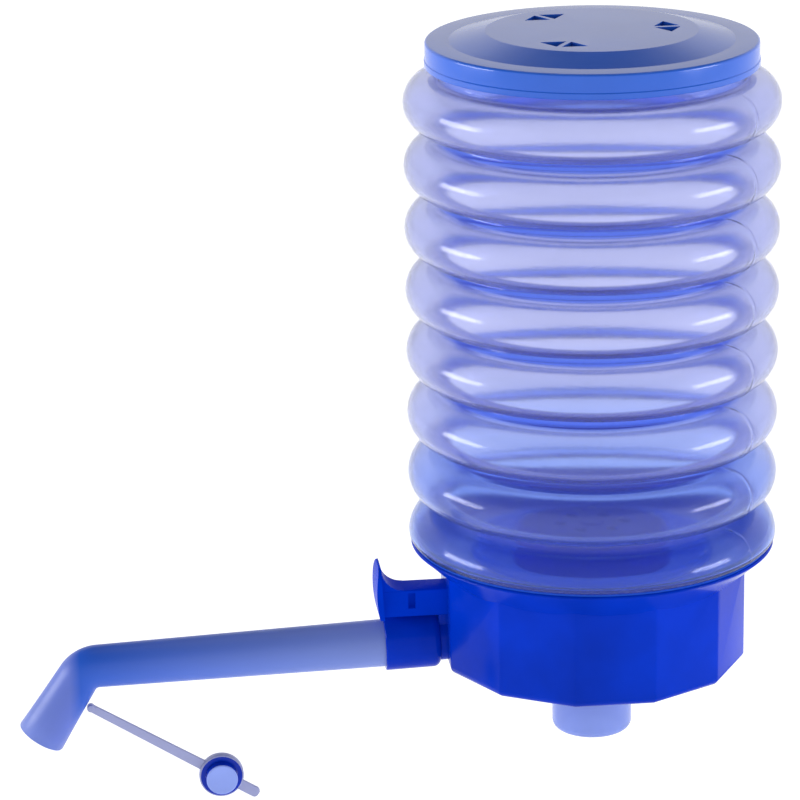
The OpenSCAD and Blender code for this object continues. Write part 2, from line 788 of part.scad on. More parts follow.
// The button: an upright pad that curves into a stem, which slides into the collar
module release_button() {
    low = -stem_h / 2;
    hollow_c = [pad_in_r - pad_t / 2, stem_h / 2 + pad_t / 2];
    bow_r = pad_h;
    bow_half = 24;
    color("mediumblue")
        button_frame()
            difference() {
                union() {
                    translate([stem_in_r, -stem_w / 2, low])
                        cube([pad_in_r - stem_in_r + pad_t / 4, stem_w, stem_h]);
                    // The pad, seen from the side: a bowed face and a hollow that runs into the stem's top
                    intersection() {
                        rotate([90, 0, 0])
                            translate([0, 0, -pad_w / 2])
                                linear_extrude(height = pad_w)
                                    polygon(concat(
                                        [[pad_out_r - pad_t / 3, low]],
                                        arc([pad_out_r - bow_r, low + pad_h / 2], bow_r, -bow_half, bow_half, 12),
                                        [[pad_out_r - pad_t / 3, low + pad_h]],
                                        arc([pad_in_r - pad_t * 0.62, low + pad_h - pad_t / 4],
                                            pad_t * 1.2, 0, -62, 10),
                                        [[pad_in_r - pad_t / 4, stem_h / 2], [pad_in_r - pad_t / 4, low]]));
                        // Rounded corners, seen from the front
                        translate([pad_in_r - pad_t, 0, low + pad_h / 2])
                            rotate([90, 0, 90])
                                linear_extrude(height = 3 * pad_t)
                                    polygon(concat(
                                        arc([pad_w / 2 - pad_t, pad_h / 2 - pad_t], pad_t, 0, 90, 8),
                                        arc([pad_t - pad_w / 2, pad_h / 2 - pad_t], pad_t, 90, 180, 8),
                                        arc([pad_t / 3 - pad_w / 2, pad_t / 3 - pad_h / 2], pad_t / 3, 180, 270, 6),
                                        arc([pad_w / 2 - pad_t / 3, pad_t / 3 - pad_h / 2], pad_t / 3, 270, 360, 6)));
                    }
                    rod(shoulder_r - washer_t - clip_t - clear, stem_in_r + spring_pocket_l + over, shaft_r, shaft_r);
                }
                // The pocket for the spring round the shaft
                difference() {
                    rod(stem_in_r - over, stem_in_r + spring_pocket_l, spring_pocket_r, spring_pocket_r);
                    rod(0, pad_in_r, shaft_r, shaft_r);
                }
                // The window across the stem
                translate([window_at, -stem_w, -window_low])
                    cube([window_l, 2 * stem_w, window_h]);
            }
}

// The spring is one wire, wound round the shaft
spring_rings = spring_turns * 10;
spring_sides = 6;
spring_pitch = (spring_high_r - spring_low_r) / spring_turns;
function wire_c(i) = [spring_low_r + spring_pitch * spring_turns * i / spring_rings,
    spring_r * cos(360 * spring_turns * i / spring_rings),
    spring_r * sin(360 * spring_turns * i / spring_rings)];
function wire_point(i, j) = wire_c(i) + spring_wire / 2 * (
    cos(360 * j / spring_sides) * [1, 0, 0]
    + sin(360 * j / spring_sides) * [0, cos(360 * spring_turns * i / spring_rings), sin(360 * spring_turns * i / spring_rings)]);
echo("least gap between the spring's turns, in millimetres", spring_pitch - spring_wire);

module release_spring() {
    color("silver")
        button_frame()
            polyhedron(
                points = [for (i = [0:spring_rings], j = [0:spring_sides - 1]) wire_point(i, j)],
                faces = concat(
                    [[for (j = [0:spring_sides - 1]) j]],
                    [[for (j = [spring_sides - 1:-1:0]) spring_rings * spring_sides + j]],
                    [for (i = [0:spring_rings - 1], j = [0:spring_sides - 1], half = [0, 1])
                        let (a = i * spring_sides + j, b = i * spring_sides + (j + 1) % spring_sides)
                            half == 0 ? [a, a + spring_sides, b + spring_sides] : [a, b + spring_sides, b]]));
}

module release_seal() {
    color("dimgray")
        button_frame()
            difference() {
                rod(shoulder_r - washer_t - run, shoulder_r - run, washer_r, washer_r);
                rod(0, collar_w, shaft_r, shaft_r);
            }
}

module release_clip() {
    color("silver")
        button_frame()
            difference() {
                rod(shoulder_r - washer_t - clip_t - run, shoulder_r - washer_t - run, clip_r, clip_r);
                rod(0, collar_w, shaft_r, shaft_r);
            }
}

press_cap();
inlet_valve_plate();
inlet_flap();
inlet_flap_pin();
mouth_gasket();
bellows();
foot_gasket();
base_collar();
valve_turret();
outlet_flap();
outlet_flap_pin();
neck_seal();
tube_socket();
arm_o_ring();
spout();
spout_o_ring();
cap_strap();
spout_plug();
release_button();
release_spring();
release_seal();
release_clip();
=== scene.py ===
"""Looks of a manual bellows pump for a large water bottle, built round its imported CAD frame.

Everything is in metres, in the CAD frame: +Z up, the pump's axis on Z, the spout along -X.
"""
import math

import bmesh
import bpy
from mathutils import Matrix, Vector


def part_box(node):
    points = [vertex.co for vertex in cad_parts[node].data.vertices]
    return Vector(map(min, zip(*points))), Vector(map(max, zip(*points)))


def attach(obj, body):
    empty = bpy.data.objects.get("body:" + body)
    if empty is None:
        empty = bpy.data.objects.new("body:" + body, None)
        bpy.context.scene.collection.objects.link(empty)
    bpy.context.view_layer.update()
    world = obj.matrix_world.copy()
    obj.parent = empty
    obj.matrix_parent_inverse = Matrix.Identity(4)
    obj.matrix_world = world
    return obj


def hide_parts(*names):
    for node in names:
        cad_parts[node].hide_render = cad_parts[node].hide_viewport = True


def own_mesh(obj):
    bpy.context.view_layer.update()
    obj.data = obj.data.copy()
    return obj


bl_info = {
    "name": "Bottle pump",
    "version": (1, 0, 0),
    "blender": (4, 5, 0),
    "location": "View3D > Sidebar > Pump",
    "description": "Bellows pump for a large water bottle: its pieces, finishes and studio",
    "category": "Object",
}

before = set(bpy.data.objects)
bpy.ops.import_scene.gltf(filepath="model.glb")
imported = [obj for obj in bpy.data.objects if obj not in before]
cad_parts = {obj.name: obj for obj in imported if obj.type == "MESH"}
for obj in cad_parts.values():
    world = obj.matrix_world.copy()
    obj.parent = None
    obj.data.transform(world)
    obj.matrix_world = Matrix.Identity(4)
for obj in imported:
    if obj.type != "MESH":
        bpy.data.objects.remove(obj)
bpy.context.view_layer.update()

MM = 0.001
NOTHING = 1e-6
CAP_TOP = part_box("inlet_valve_plate")[1].z + 1.5 * MM
LIP_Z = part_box("bellows")[1].z
DOME_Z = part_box("press_cap")[1].z
FOLD_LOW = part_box("bellows")[0].z
# Painted light and shade along the spout: millimetres along X, and the share of the spout's colour
# there
SPOUT_PAINTED_LIGHT = (
    (-150, (0.8, 0.8, 0.9)), (-137, (0.6, 0.65, 0.9)),
    (-134, (0.08, 0.36, 0.85)), (-55, (1, 1, 1)),
)
# The camera's lens in millimetres, its place in metres and its turn in degrees
LENS = 163.218
CAMERA_PLACE = (-0.139128, -0.878419, 0.352847)
CAMERA_TURN = (72.350183, 0.895166, -6.108902)


def length(name, description, default_mm):
    return bpy.props.FloatProperty(
        name=name, description=description, default=default_mm * MM, min=0, precision=5,
        unit="LENGTH", subtype="DISTANCE")


def angle(name, description, default_deg):
    return bpy.props.FloatProperty(
        name=name, description=description, default=math.radians(default_deg),
        unit="ROTATION", subtype="ANGLE")


def colour(name, description, default):
    return bpy.props.FloatVectorProperty(
        name=name, description=description, default=default, size=3, min=0, max=1, subtype="COLOR")


def share(name, description, default):
    return bpy.props.FloatProperty(
        name=name, description=description, default=default, min=0, max=1)


class BellowsSizes(bpy.types.PropertyGroup):
    crest_r: length("Crest radius", "Outer radius at a fold's crest", 47.5)
    groove_r: length("Groove radius", "Outer radius at the bottom of a groove", 37.8)
    fold_h: length("Fold height", "Height of one fold", 16.2)
    fold_n: bpy.props.IntProperty(name="Folds", description="Number of folds", default=8, min=2)
    crest_round: length("Crest rounding", "Rounding of a fold's crest", 6.8)
    groove_round: length("Groove rounding", "Rounding at the bottom of a groove", 1.2)
    wall: length("Wall", "Thickness of the blown wall", 1.1)
    low_crest: length("Lowest crest", "Height of the lowest crest above the collar's rim", 35.2)
    mouth_r: length("Mouth radius", "Outer radius of the mouth under the cap", 39.2)
    seam_turn: angle("Seam", "Direction of the parting line, from +X", -41.2)
    seam_h: length("Seam height", "How far the parting line stands out", 0.09)


class CapSizes(bpy.types.PropertyGroup):
    radius: length("Radius", "Outer radius of the skirt's lip", 42)
    skirt_h: length("Skirt height", "Height of the skirt", 6.2)
    wall: length("Wall", "Wall of the cap", 1.5)
    dome_r: length("Raised flat", "Radius of the raised flat", 26.6)
    foot_r: length("Slope's foot", "Radius at which the slope ends", 35.8)
    vent_ring_r: length("Vent ring", "Radius on which the vents lie", 19)
    vent_side: length("Vent side", "Side of a three-cornered vent", 6.6)
    vent_bar: length("Vent bar", "Bar between the two vents of a pair", 1.3)


class CollarSizes(bpy.types.PropertyGroup):
    side_r: length("Side", "Distance from the axis to a flat side", 38.5)
    height: length("Height", "Height of the flat sides", 25)
    wall: length("Wall", "Wall of the collar", 2.6)
    rounding: length("Edge", "Rounding of the lower edge", 2.2)
    neck_r: length("Neck bore", "Radius of the bore for the bottle's neck", 28.5)
    sleeve_r: length("Sleeve", "Outer radius of the sleeve round that bore", 30.3)
    dish_r: length("Dish", "Outer radius of the dish", 47)
    dish_top: length("Dish's rim", "Height of the dish's rim", 33.1)
    dish_wall: length("Dish's wall", "Wall of the dish, measured upright", 2.1)
    socket_r: length("Socket", "Outer radius of the spout's socket", 7.25)
    socket_l: length("Socket length", "Length of the socket outside the collar", 16.3)
    socket_z: length("Socket height", "Height at which the socket's axis meets the collar", 6.3)


class SpoutSizes(bpy.types.PropertyGroup):
    fall: angle("Fall", "Fall of the socket and the spout", 1.7)
    radius: length("Radius", "Radius where it enters the socket", 6.2)
    bend_r: length("Radius at the bend", "Radius at the bend", 5.55)
    bore_r: length("Bore", "Radius of the bore", 4.3)
    run: length("Run", "Distance from the socket's mouth to the bend's corner", 78)
    turn: angle("Bend", "Turn at the bend", 55.5)
    bend_round: length("Bend rounding", "Radius of the bend, at the tube's middle", 6.6)
    leg: length("Leg", "Distance from the bend's corner to the mouth", 22.4)
    lip_r: length("Lip", "Radius at the mouth", 6.4)


class StrapSizes(bpy.types.PropertyGroup):
    run: length("Length", "Length from the spout to the plug's middle", 39.3)
    fall: angle("Fall", "Fall of the strap", 32)
    thickness: length("Thickness", "Thickness of the strap", 1)
    width: length("Width", "Width at the spout", 2)
    end_width: length("End width", "Width at the plug", 2.8)
    ring_r: length("Ring", "Outer radius of the ring that holds the plug", 5.85)
    ring_t: length("Ring thickness", "Thickness of that ring", 2.4)
    plug_r: length("Plug", "Radius of the plug", 4.1)
    tab: length("Tab", "Length of the pull tab past the ring", 5.5)


class ButtonSizes(bpy.types.PropertyGroup):
    stem_w: length("Stem width", "Width of the stem", 8)
    stem_h: length("Stem height", "Height of the stem", 7.2)
    stem_z: length("Stem's middle", "Height of the stem's middle", 17.8)
    stem_in: length("Stem's inner end", "Distance from the axis to the stem's inner end", 36.94)
    pad_in: length("Pad's back", "Distance from the axis to the pad's back", 51.5)
    pad_h: length("Pad height", "Height of the pad", 14)
    pad_w: length("Pad width", "Width of the pad", 12.5)
    pad_t: length("Pad depth", "How far the pad and its web stand out", 5.4)
    pad_plate: length("Pad's plate", "Thickness of the pad's wide plate", 1.9)


class PumpFinishes(bpy.types.PropertyGroup):
    bellows: colour("Bellows", "Colour of the bellows' clear plastic", (0.83, 0.84, 0.97))
    bellows_depth: colour(
        "Bellows' depth", "Colour that thick parts of the bellows take", (0.10, 0.24, 0.90))
    # Painted shade: a deeper blue painted into the grooves
    bellows_groove_shade: colour(
        "Bellows' grooves", "Colour at the bottom of the grooves", (0.12, 0.24, 0.82))
    # Painted light: the collar's blue, seen through the lowest folds, painted on them
    bellows_low_painted_blue: colour(
        "Bellows' lowest folds", "Blue that the lowest folds take from the collar",
        (0.40, 0.58, 0.98))
    blue: colour("Blue", "Colour of the cap", (0.018, 0.115, 0.62))
    collar: colour("Collar", "Colour of the collar, the button and the plug", (0.0, 0.028, 0.45))
    # Painted light: a lighter copy of the collar's blue, for the dish's inside and the gaskets, as
    # if lit through the bellows
    dish: colour("Dish", "Colour inside the dish, lit through the bellows", (0.02, 0.10, 0.60))
    pale: colour("Pale blue", "Colour of the clear blue spout and stub", (0.25, 0.35, 0.85))
    strap: colour("Strap", "Colour of the milky strap", (0.38, 0.41, 0.68))
    roughness: share("Roughness", "Roughness of the moulded plastic", 0.16)


class Studio(bpy.types.PropertyGroup):
    floor_z: length("Floor", "Depth of the light table below the collar's rim", 36.1)
    table: share("Table light", "Light that the table gives by itself", 0.88)
    sky: share("Sky", "Brightness of the studio's dark upper part", 0.13)


SETTINGS = {
    "bellows": BellowsSizes, "cap": CapSizes, "collar": CollarSizes, "spout": SpoutSizes,
    "strap": StrapSizes, "button": ButtonSizes, "finish": PumpFinishes, "studio": Studio,
}


def sizes(group):
    return getattr(bpy.context.scene, "pump_" + group)


# Modelling


class Outline:
    """A section in the XZ plane, drawn with lines and arcs, then spun or pushed into a solid."""

    def __init__(self, x, z):
        self.bm = bmesh.new()
        self.first = self.last = self.bm.verts.new((x, 0, z))

    def line(self, *points):
        for x, z in points:
            grown = bmesh.ops.extrude_vert_indiv(self.bm, verts=[self.last])
            self.last = grown["verts"][0]
            self.last.co = (x, 0, z)
        return self

    def arc(self, x, z, degrees, steps):
        """Goes on round (x, z), clockwise with +X to the right where degrees is above zero."""
        turned = bmesh.ops.spin(
            self.bm, geom=[self.last], cent=(x, 0, z), axis=(0, 1, 0),
            angle=math.radians(degrees), steps=steps)
        self.last = next(v for v in turned["geom_last"] if isinstance(v, bmesh.types.BMVert))
        return self

    def close(self):
        self.bm.edges.new((self.last, self.first))
        return self

    def spin(self, steps, axis=(0, 0, 1)):
        """The closed section, turned once round an axis through the origin."""
        bm = self.bm
        bmesh.ops.spin(
            bm, geom=bm.verts[:] + bm.edges[:], cent=(0, 0, 0), axis=axis,
            angle=math.tau, steps=steps, use_merge=True)
        bmesh.ops.remove_doubles(bm, verts=bm.verts[:], dist=NOTHING)
        bmesh.ops.recalc_face_normals(bm, faces=bm.faces[:])
        return bm

    def push(self, width):
        """The closed section, made as wide as width along Y, half to each side."""
        bm = self.bm
        raise_faces(bm, bmesh.ops.contextual_create(bm, geom=bm.edges[:])["faces"], (0, width, 0))
        bmesh.ops.translate(bm, vec=(0, -width / 2, 0), verts=bm.verts[:])
        return bm


class Hose:
    """A tube that grows ring by ring in the XZ plane, straight or round a bend."""

    def __init__(self, at, direction, radius, sides):
        self.bm = bmesh.new()
        self.at, self.way, self.radius = Vector(at), Vector(direction).normalized(), radius
        turn = self.way.to_track_quat("Z", "Y").to_matrix().to_4x4()
        made = bmesh.ops.create_circle(
            self.bm, segments=sides, radius=radius, matrix=Matrix.Translation(self.at) @ turn)
        self.verts = made["verts"]
        self.edges = list({e for v in self.verts for e in v.link_edges})

    def grow(self, distance, radius):
        grown = bmesh.ops.extrude_edge_only(self.bm, edges=self.edges)["geom"]
        self.verts = [v for v in grown if isinstance(v, bmesh.types.BMVert)]
        self.edges = [e for e in grown if isinstance(e, bmesh.types.BMEdge)]
        bmesh.ops.translate(self.bm, vec=self.way * distance, verts=self.verts)
        self.at = self.at + self.way * distance
        if abs(radius - self.radius) > NOTHING:
            bmesh.ops.scale(
                self.bm, vec=(radius / self.radius,) * 3, space=Matrix.Translation(-self.at),
                verts=self.verts)
        self.radius = radius
        return self

    def bend(self, degrees, round_r, steps):
        """Turns downward where degrees is above zero, and back up where it is below."""
        side = Matrix.Rotation(math.radians(-90 if degrees > 0 else 90), 3, "Y") @ self.way
        centre = self.at + side * round_r
        turned = bmesh.ops.spin(
            self.bm, geom=self.verts + self.edges, cent=centre, axis=(0, -1, 0),
            angle=math.radians(degrees), steps=steps)
        self.verts = [v for v in turned["geom_last"] if isinstance(v, bmesh.types.BMVert)]
        self.edges = [e for e in turned["geom_last"] if isinstance(e, bmesh.types.BMEdge)]
        turn = Matrix.Rotation(math.radians(-degrees), 3, "Y")
        self.at = centre + turn @ (self.at - centre)
        self.way = turn @ self.way
        return self

    def about(self):
        """Turns round, to grow back along itself."""
        self.way = -self.way
        return self


def box(x0, x1, y0, y1, z0, z1, edge=0.0):
    """A block between two corners, with its edges rounded where edge is given."""
    bm = bmesh.new()
    bmesh.ops.create_cube(bm, size=1)
    bmesh.ops.scale(bm, vec=(x1 - x0, y1 - y0, z1 - z0), verts=bm.verts[:])
    bmesh.ops.translate(bm, vec=((x0 + x1) / 2, (y0 + y1) / 2, (z0 + z1) / 2), verts=bm.verts[:])
    if edge:
        round_edges(bm, bm.edges[:], edge, 3)
    return bm


def rod(r, z0, z1, sides=64, edge=0.0):
    """An upright round bar."""
    bm = bmesh.new()
    bmesh.ops.create_cone(
        bm, cap_ends=True, segments=sides, radius1=r, radius2=r, depth=z1 - z0,
        matrix=Matrix.Translation((0, 0, (z0 + z1) / 2)))
    if edge:
        rims = [e for e in bm.edges if any(len(f.verts) > 4 for f in e.link_faces)]
        round_edges(bm, rims, edge, 3)
    return bm


def raise_faces(bm, faces, by):
    """Pushes flat faces out into a solid."""
    grown = bmesh.ops.extrude_face_region(bm, geom=faces)["geom"]
    bmesh.ops.translate(bm, vec=by, verts=[v for v in grown if isinstance(v, bmesh.types.BMVert)])
    bmesh.ops.recalc_face_normals(bm, faces=bm.faces[:])


def round_edges(bm, edges, radius, segments):
    bmesh.ops.bevel(
        bm, geom=edges, offset=radius, offset_type="OFFSET", segments=segments, profile=0.5,
        affect="EDGES", clamp_overlap=True, material=-1)


def placed(bm, *matrices):
    """The mesh, moved by each matrix in turn, the last one first."""
    whole = Matrix.Identity(4)
    for m in matrices:
        whole = whole @ m
    bmesh.ops.transform(bm, matrix=whole, verts=bm.verts[:])
    return bm


def sideways():
    """Turns what was made round Z so that it lies round X."""
    return Matrix.Rotation(math.radians(90), 4, "Y")


def to_object(bm, name):
    mesh = bpy.data.meshes.new(name)
    bm.to_mesh(mesh)
    bm.free()
    made = bpy.data.objects.new(name, mesh)
    bpy.context.scene.collection.objects.link(made)
    return made


def combine(target, *steps):
    """target after each (operation, bmesh) step of joining or cutting."""
    for operation, bm in steps:
        tool = to_object(bm, "tool")
        change = target.modifiers.new("change", "BOOLEAN")
        change.operation, change.object, change.solver = operation, tool, "EXACT"
        changed = target.evaluated_get(bpy.context.evaluated_depsgraph_get())
        mesh = bpy.data.meshes.new_from_object(changed)
        target.modifiers.clear()
        target.data = mesh
        bpy.data.objects.remove(tool)
    return target


def carved(bm, *steps):
    """A bmesh after the same steps."""
    blank = combine(to_object(bm, "blank"), *steps)
    result = bmesh.new()
    result.from_mesh(blank.data)
    bpy.data.objects.remove(blank)
    return result


def piece(made, name, body, material, replaces=(), sharp=35):
    """Names a finished object, shades it, and puts it on its body in place of its CAD node."""
    if isinstance(made, bmesh.types.BMesh):
        made = to_object(made, name)
    made.name = made.data.name = name
    mesh = made.data
    for one in material if isinstance(material, list) else [material]:
        mesh.materials.append(one)
    mesh.shade_smooth()
    mesh.set_sharp_from_angle(angle=math.radians(sharp))
    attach(made, body)
    if replaces:
        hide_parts(*replaces)
    return made


# Frames of the spout, the strap and the button, as the CAD source has them


def down(radians):
    return Matrix.Rotation(radians, 4, "Y")


def about_z(degrees):
    return Matrix.Rotation(math.radians(degrees), 4, "Z")


def socket_frame():
    """+X leaves the collar along the socket's axis."""
    c, s = sizes("collar"), sizes("spout")
    return Matrix.Translation((-c.side_r, 0, c.socket_z)) @ about_z(180) @ down(s.fall)


def leg_frame():
    """+X runs down the spout's leg, from the bend's corner."""
    c, s = sizes("collar"), sizes("spout")
    return socket_frame() @ Matrix.Translation((c.socket_l + s.run, 0, 0)) @ down(s.turn)


def strap_frame():
    """+X runs along the strap, from its root on the spout's leg."""
    s, t = sizes("spout"), sizes("strap")
    root, clear = 9 * MM, 0.3 * MM
    side = s.bend_r + (s.lip_r - s.bend_r) * root / s.leg + clear + t.thickness
    back = math.pi - s.turn - s.fall - t.fall
    return leg_frame() @ Matrix.Translation((root, 0, -side)) @ down(back)


def button_frame():
    """+X runs outward along the button's stem, from the pump's axis."""
    return Matrix.Translation((0, 0, sizes("button").stem_z)) @ about_z(180)


# Finishes


def add(tree, kind, **values):
    """A node with some of its sockets or settings given."""
    node = tree.nodes.new("ShaderNode" + kind)
    for name, value in values.items():
        socket = node.inputs.get(name.replace("_", " "))
        if socket is None:
            setattr(node, name, value)
        else:
            socket.default_value = value
    return node


def noise_of(tree, coords, stretch, scale, detail):
    place = add(tree, "Mapping", Scale=stretch)
    tree.links.new(coords.outputs["Object"], place.inputs["Vector"])
    noise = add(tree, "TexNoise", Scale=scale, Detail=detail)
    tree.links.new(place.outputs["Vector"], noise.inputs["Vector"])
    return noise.outputs["Fac"]


def moulded(name, tone, rough, clear=0.0, depth=None, density=0.0, tint=0.12, ripple=0.00002,
            stretch=(1, 1, 1), gloss=0.5, ior=1.49, painted_glow=0.0, painted_groove_bands=False, along=None):
    """Moulded plastic: cloudy tone, uneven gloss and a faint ripple.

    Where it is thick it takes depth's colour. Its glow is light painted on as emission in its own
    colour, though the part is no lamp. It can also take painted shade in the bellows' grooves, or
    painted light and shade along X.
    """
    mat = bpy.data.materials.new(name)
    mat.use_nodes = True
    tree = mat.node_tree
    shader = tree.nodes["Principled BSDF"]
    set_all(shader, {
        "IOR": ior, "Emission Color": (*tone, 1), "Emission Strength": painted_glow,
        "Specular IOR Level": gloss, "Transmission Weight": clear,
    })
    coords = add(tree, "TexCoord")
    shades = add(tree, "ValToRGB")
    pale, dark = shades.color_ramp.elements[1], shades.color_ramp.elements[0]
    dark.position, pale.position = 0.3, 0.7
    dark.color = (*(c * (1 - tint) for c in tone), 1)
    pale.color = (*(min(1, c * (1 + tint / 2)) for c in tone), 1)
    tree.links.new(noise_of(tree, coords, stretch, scale=38, detail=4), shades.inputs["Fac"])
    colour_out = shades.outputs["Color"]
    if along:
        colour_out = paint_light_along_x(tree, coords, colour_out, along)
    elif painted_groove_bands:
        colour_out = painted_groove_shade(tree, coords, colour_out)
    tree.links.new(colour_out, shader.inputs["Base Color"])
    uneven = add(tree, "MapRange", To_Min=rough * 0.75, To_Max=rough * 1.3)
    tree.links.new(noise_of(tree, coords, stretch, scale=120, detail=3), uneven.inputs["Value"])
    tree.links.new(uneven.outputs["Result"], shader.inputs["Roughness"])
    bump = add(tree, "Bump", Strength=0.5, Distance=ripple)
    tree.links.new(noise_of(tree, coords, stretch, scale=260, detail=2), bump.inputs["Height"])
    tree.links.new(bump.outputs["Normal"], shader.inputs["Normal"])
    if depth:
        soak = add(tree, "VolumeAbsorption", Color=(*depth, 1), Density=density)
        tree.links.new(soak.outputs["Volume"], tree.nodes["Material Output"].inputs["Volume"])
    return mat


def set_all(shader, values):
    for name, value in values.items():
        shader.inputs[name].default_value = value


def paint_light_along_x(tree, coords, tone, stops):
    """Multiplies a tone by colours set at some distances along X, to paint light and shade along
    the spout.
    """
    place = add(tree, "SeparateXYZ")
    tree.links.new(coords.outputs["Object"], place.inputs["Vector"])
    first, last = stops[0][0], stops[-1][0]
    share_x = add(tree, "MapRange", From_Min=first * MM, From_Max=last * MM)
    tree.links.new(place.outputs["X"], share_x.inputs["Value"])
    ramp = add(tree, "ValToRGB")
    made = ramp.color_ramp.elements
    for x, shade in stops[1:-1]:
        made.new((x - first) / (last - first)).color = (*shade, 1)
    made[0].color, made[len(made) - 1].color = (*stops[0][1], 1), (*stops[-1][1], 1)
    tree.links.new(share_x.outputs["Result"], ramp.inputs["Fac"])
    mix = add(tree, "Mix", data_type="RGBA", blend_type="MULTIPLY")
    mix.inputs["Factor"].default_value = 1.0
    tree.links.new(tone, mix.inputs[6])
    tree.links.new(ramp.outputs["Color"], mix.inputs[7])
    return mix.outputs[2]


def painted_groove_shade(tree, coords, tone):
    """Paints shade into the bellows' grooves as a deeper blue, with a faint painted glow at their
    bottom, and paints the lowest folds with the blue of the collar seen through them.
    """
    b, f = sizes("bellows"), sizes("finish")
    flat = add(tree, "VectorMath", operation="MULTIPLY")
    flat.inputs[1].default_value = (1, 1, 0)
    tree.links.new(coords.outputs["Object"], flat.inputs[0])
    reach = add(tree, "VectorMath", operation="LENGTH")
    tree.links.new(flat.outputs["Vector"], reach.inputs[0])
    # Painted glow at the bottom of the grooves, as emission, though the bellows is no lamp
    painted_glow = fading(tree, reach.outputs["Value"], b.groove_r, b.groove_r + 2 * MM, 0.04)
    tree.links.new(painted_glow, tree.nodes["Principled BSDF"].inputs["Emission Strength"])
    # Painted shade in the grooves
    groove = fading(tree, reach.outputs["Value"], b.groove_r + 0.3 * MM, b.groove_r + 2.2 * MM)
    height = add(tree, "SeparateXYZ")
    tree.links.new(coords.outputs["Object"], height.inputs["Vector"])
    # Painted blue on the lowest folds, for the collar seen through them
    low = fading(tree, height.outputs["Z"], 34 * MM, 70 * MM)
    return mix_in_painted_light(tree, low, mix_in_painted_light(tree, groove, tone, f.bellows_groove_shade), f.bellows_low_painted_blue)


def fading(tree, value, start, end, strength=1.0):
    """A share that falls from strength to nothing as value goes from start to end."""
    share_of = add(tree, "MapRange", From_Min=start, From_Max=end, To_Min=strength, To_Max=0)
    tree.links.new(value, share_of.inputs["Value"])
    return share_of.outputs["Result"]


def mix_in_painted_light(tree, amount, tone, painted_colour):
    """A tone that turns into a painted colour by an amount; it paints shade and light on the
    bellows.
    """
    mix = add(tree, "Mix", data_type="RGBA")
    tree.links.new(amount, mix.inputs["Factor"])
    tree.links.new(tone, mix.inputs[6])
    mix.inputs[7].default_value = (*painted_colour, 1)
    return mix.outputs[2]


def recipes():
    """What each moulded finish is made of."""
    f = sizes("finish")
    return {
        # The bellows take painted shade in their grooves and painted blue on their lowest folds
        "clear_bellows": dict(
            tone=f.bellows, rough=0.13, clear=0.94, depth=f.bellows_depth, density=150, ior=1.32,
            tint=0.03, stretch=(1, 1, 2.5), ripple=0.00003, painted_groove_bands=True),
        "blue_cap": dict(tone=f.blue, rough=f.roughness, tint=0.10),
        # The collar, the dish, the button, the turret and the gaskets glow: light painted on as
        # emission, though they are no lamps; the dish and the gaskets also take the lighter
        # painted blue
        "blue_collar": dict(tone=f.collar, rough=0.14, tint=0.3, ior=1.3, gloss=0.12, painted_glow=0.1),
        "painted_lit_dish": dict(tone=f.dish, rough=0.3, tint=0.1, gloss=0.08, painted_glow=0.45),
        # The spout's colour is multiplied by painted light and shade along X: paler on the leg,
        # deeper at the bend
        "clear_blue_spout": dict(
            tone=f.pale, rough=0.36, clear=0.25, tint=0.10, stretch=(0.3, 1, 1), gloss=0.25,
            along=SPOUT_PAINTED_LIGHT),
        "clear_blue_stub": dict(tone=f.pale, rough=0.24, clear=0.35, tint=0.08, gloss=0.4),
        "milky_strap": dict(tone=f.strap, rough=0.3, clear=0.25, tint=0.08),
        "blue_plug": dict(tone=f.collar, rough=0.2, tint=0.2, gloss=0.2),
        "pale_blue_disc": dict(tone=f.pale, rough=0.25, tint=0.2),
        "blue_button": dict(
            tone=f.collar, rough=0.25, tint=0.3, ior=1.18, gloss=0.03, painted_glow=0.28),
        "blue_turret": dict(tone=f.collar, rough=0.2, tint=0.1, gloss=0.04, painted_glow=0.3),
        "black_rubber": dict(tone=(0.03, 0.03, 0.035), rough=0.55, tint=0.2, ripple=0.00006),
        "white_seal": dict(tone=(0.72, 0.74, 0.76), rough=0.45, tint=0.06, ripple=0.00005),
        "painted_lit_gasket": dict(tone=f.dish, rough=0.4, tint=0.15, ripple=0.00005, painted_glow=0.4),
        "white_pin": dict(tone=(0.80, 0.81, 0.83), rough=0.28, tint=0.05),
        "pale_plate": dict(tone=(0.10, 0.18, 0.65), rough=0.25, tint=0.08),
    }


def finish(name):
    """The material of that name, made when it is first asked for.

    The frame's own materials have the names of its slots, so no finish here has one of those.
    """
    if name not in bpy.data.materials:
        if name == "drawn_wire":
            drawn_steel(name)
        else:
            moulded(name, **recipes()[name])
    return bpy.data.materials[name]


def drawn_steel(name):
    """Bare drawn wire: metal with fine lines in its gloss."""
    mat = bpy.data.materials.new(name)
    mat.use_nodes = True
    tree = mat.node_tree
    shader = tree.nodes["Principled BSDF"]
    set_all(shader, {"Metallic": 1.0, "Base Color": (0.62, 0.63, 0.65, 1)})
    gloss = add(tree, "MapRange", To_Min=0.18, To_Max=0.38)
    drawn = noise_of(tree, add(tree, "TexCoord"), (0.2, 1, 1), scale=900, detail=3)
    tree.links.new(drawn, gloss.inputs["Value"])
    tree.links.new(gloss.outputs["Result"], shader.inputs["Roughness"])
    return mat


# Operators


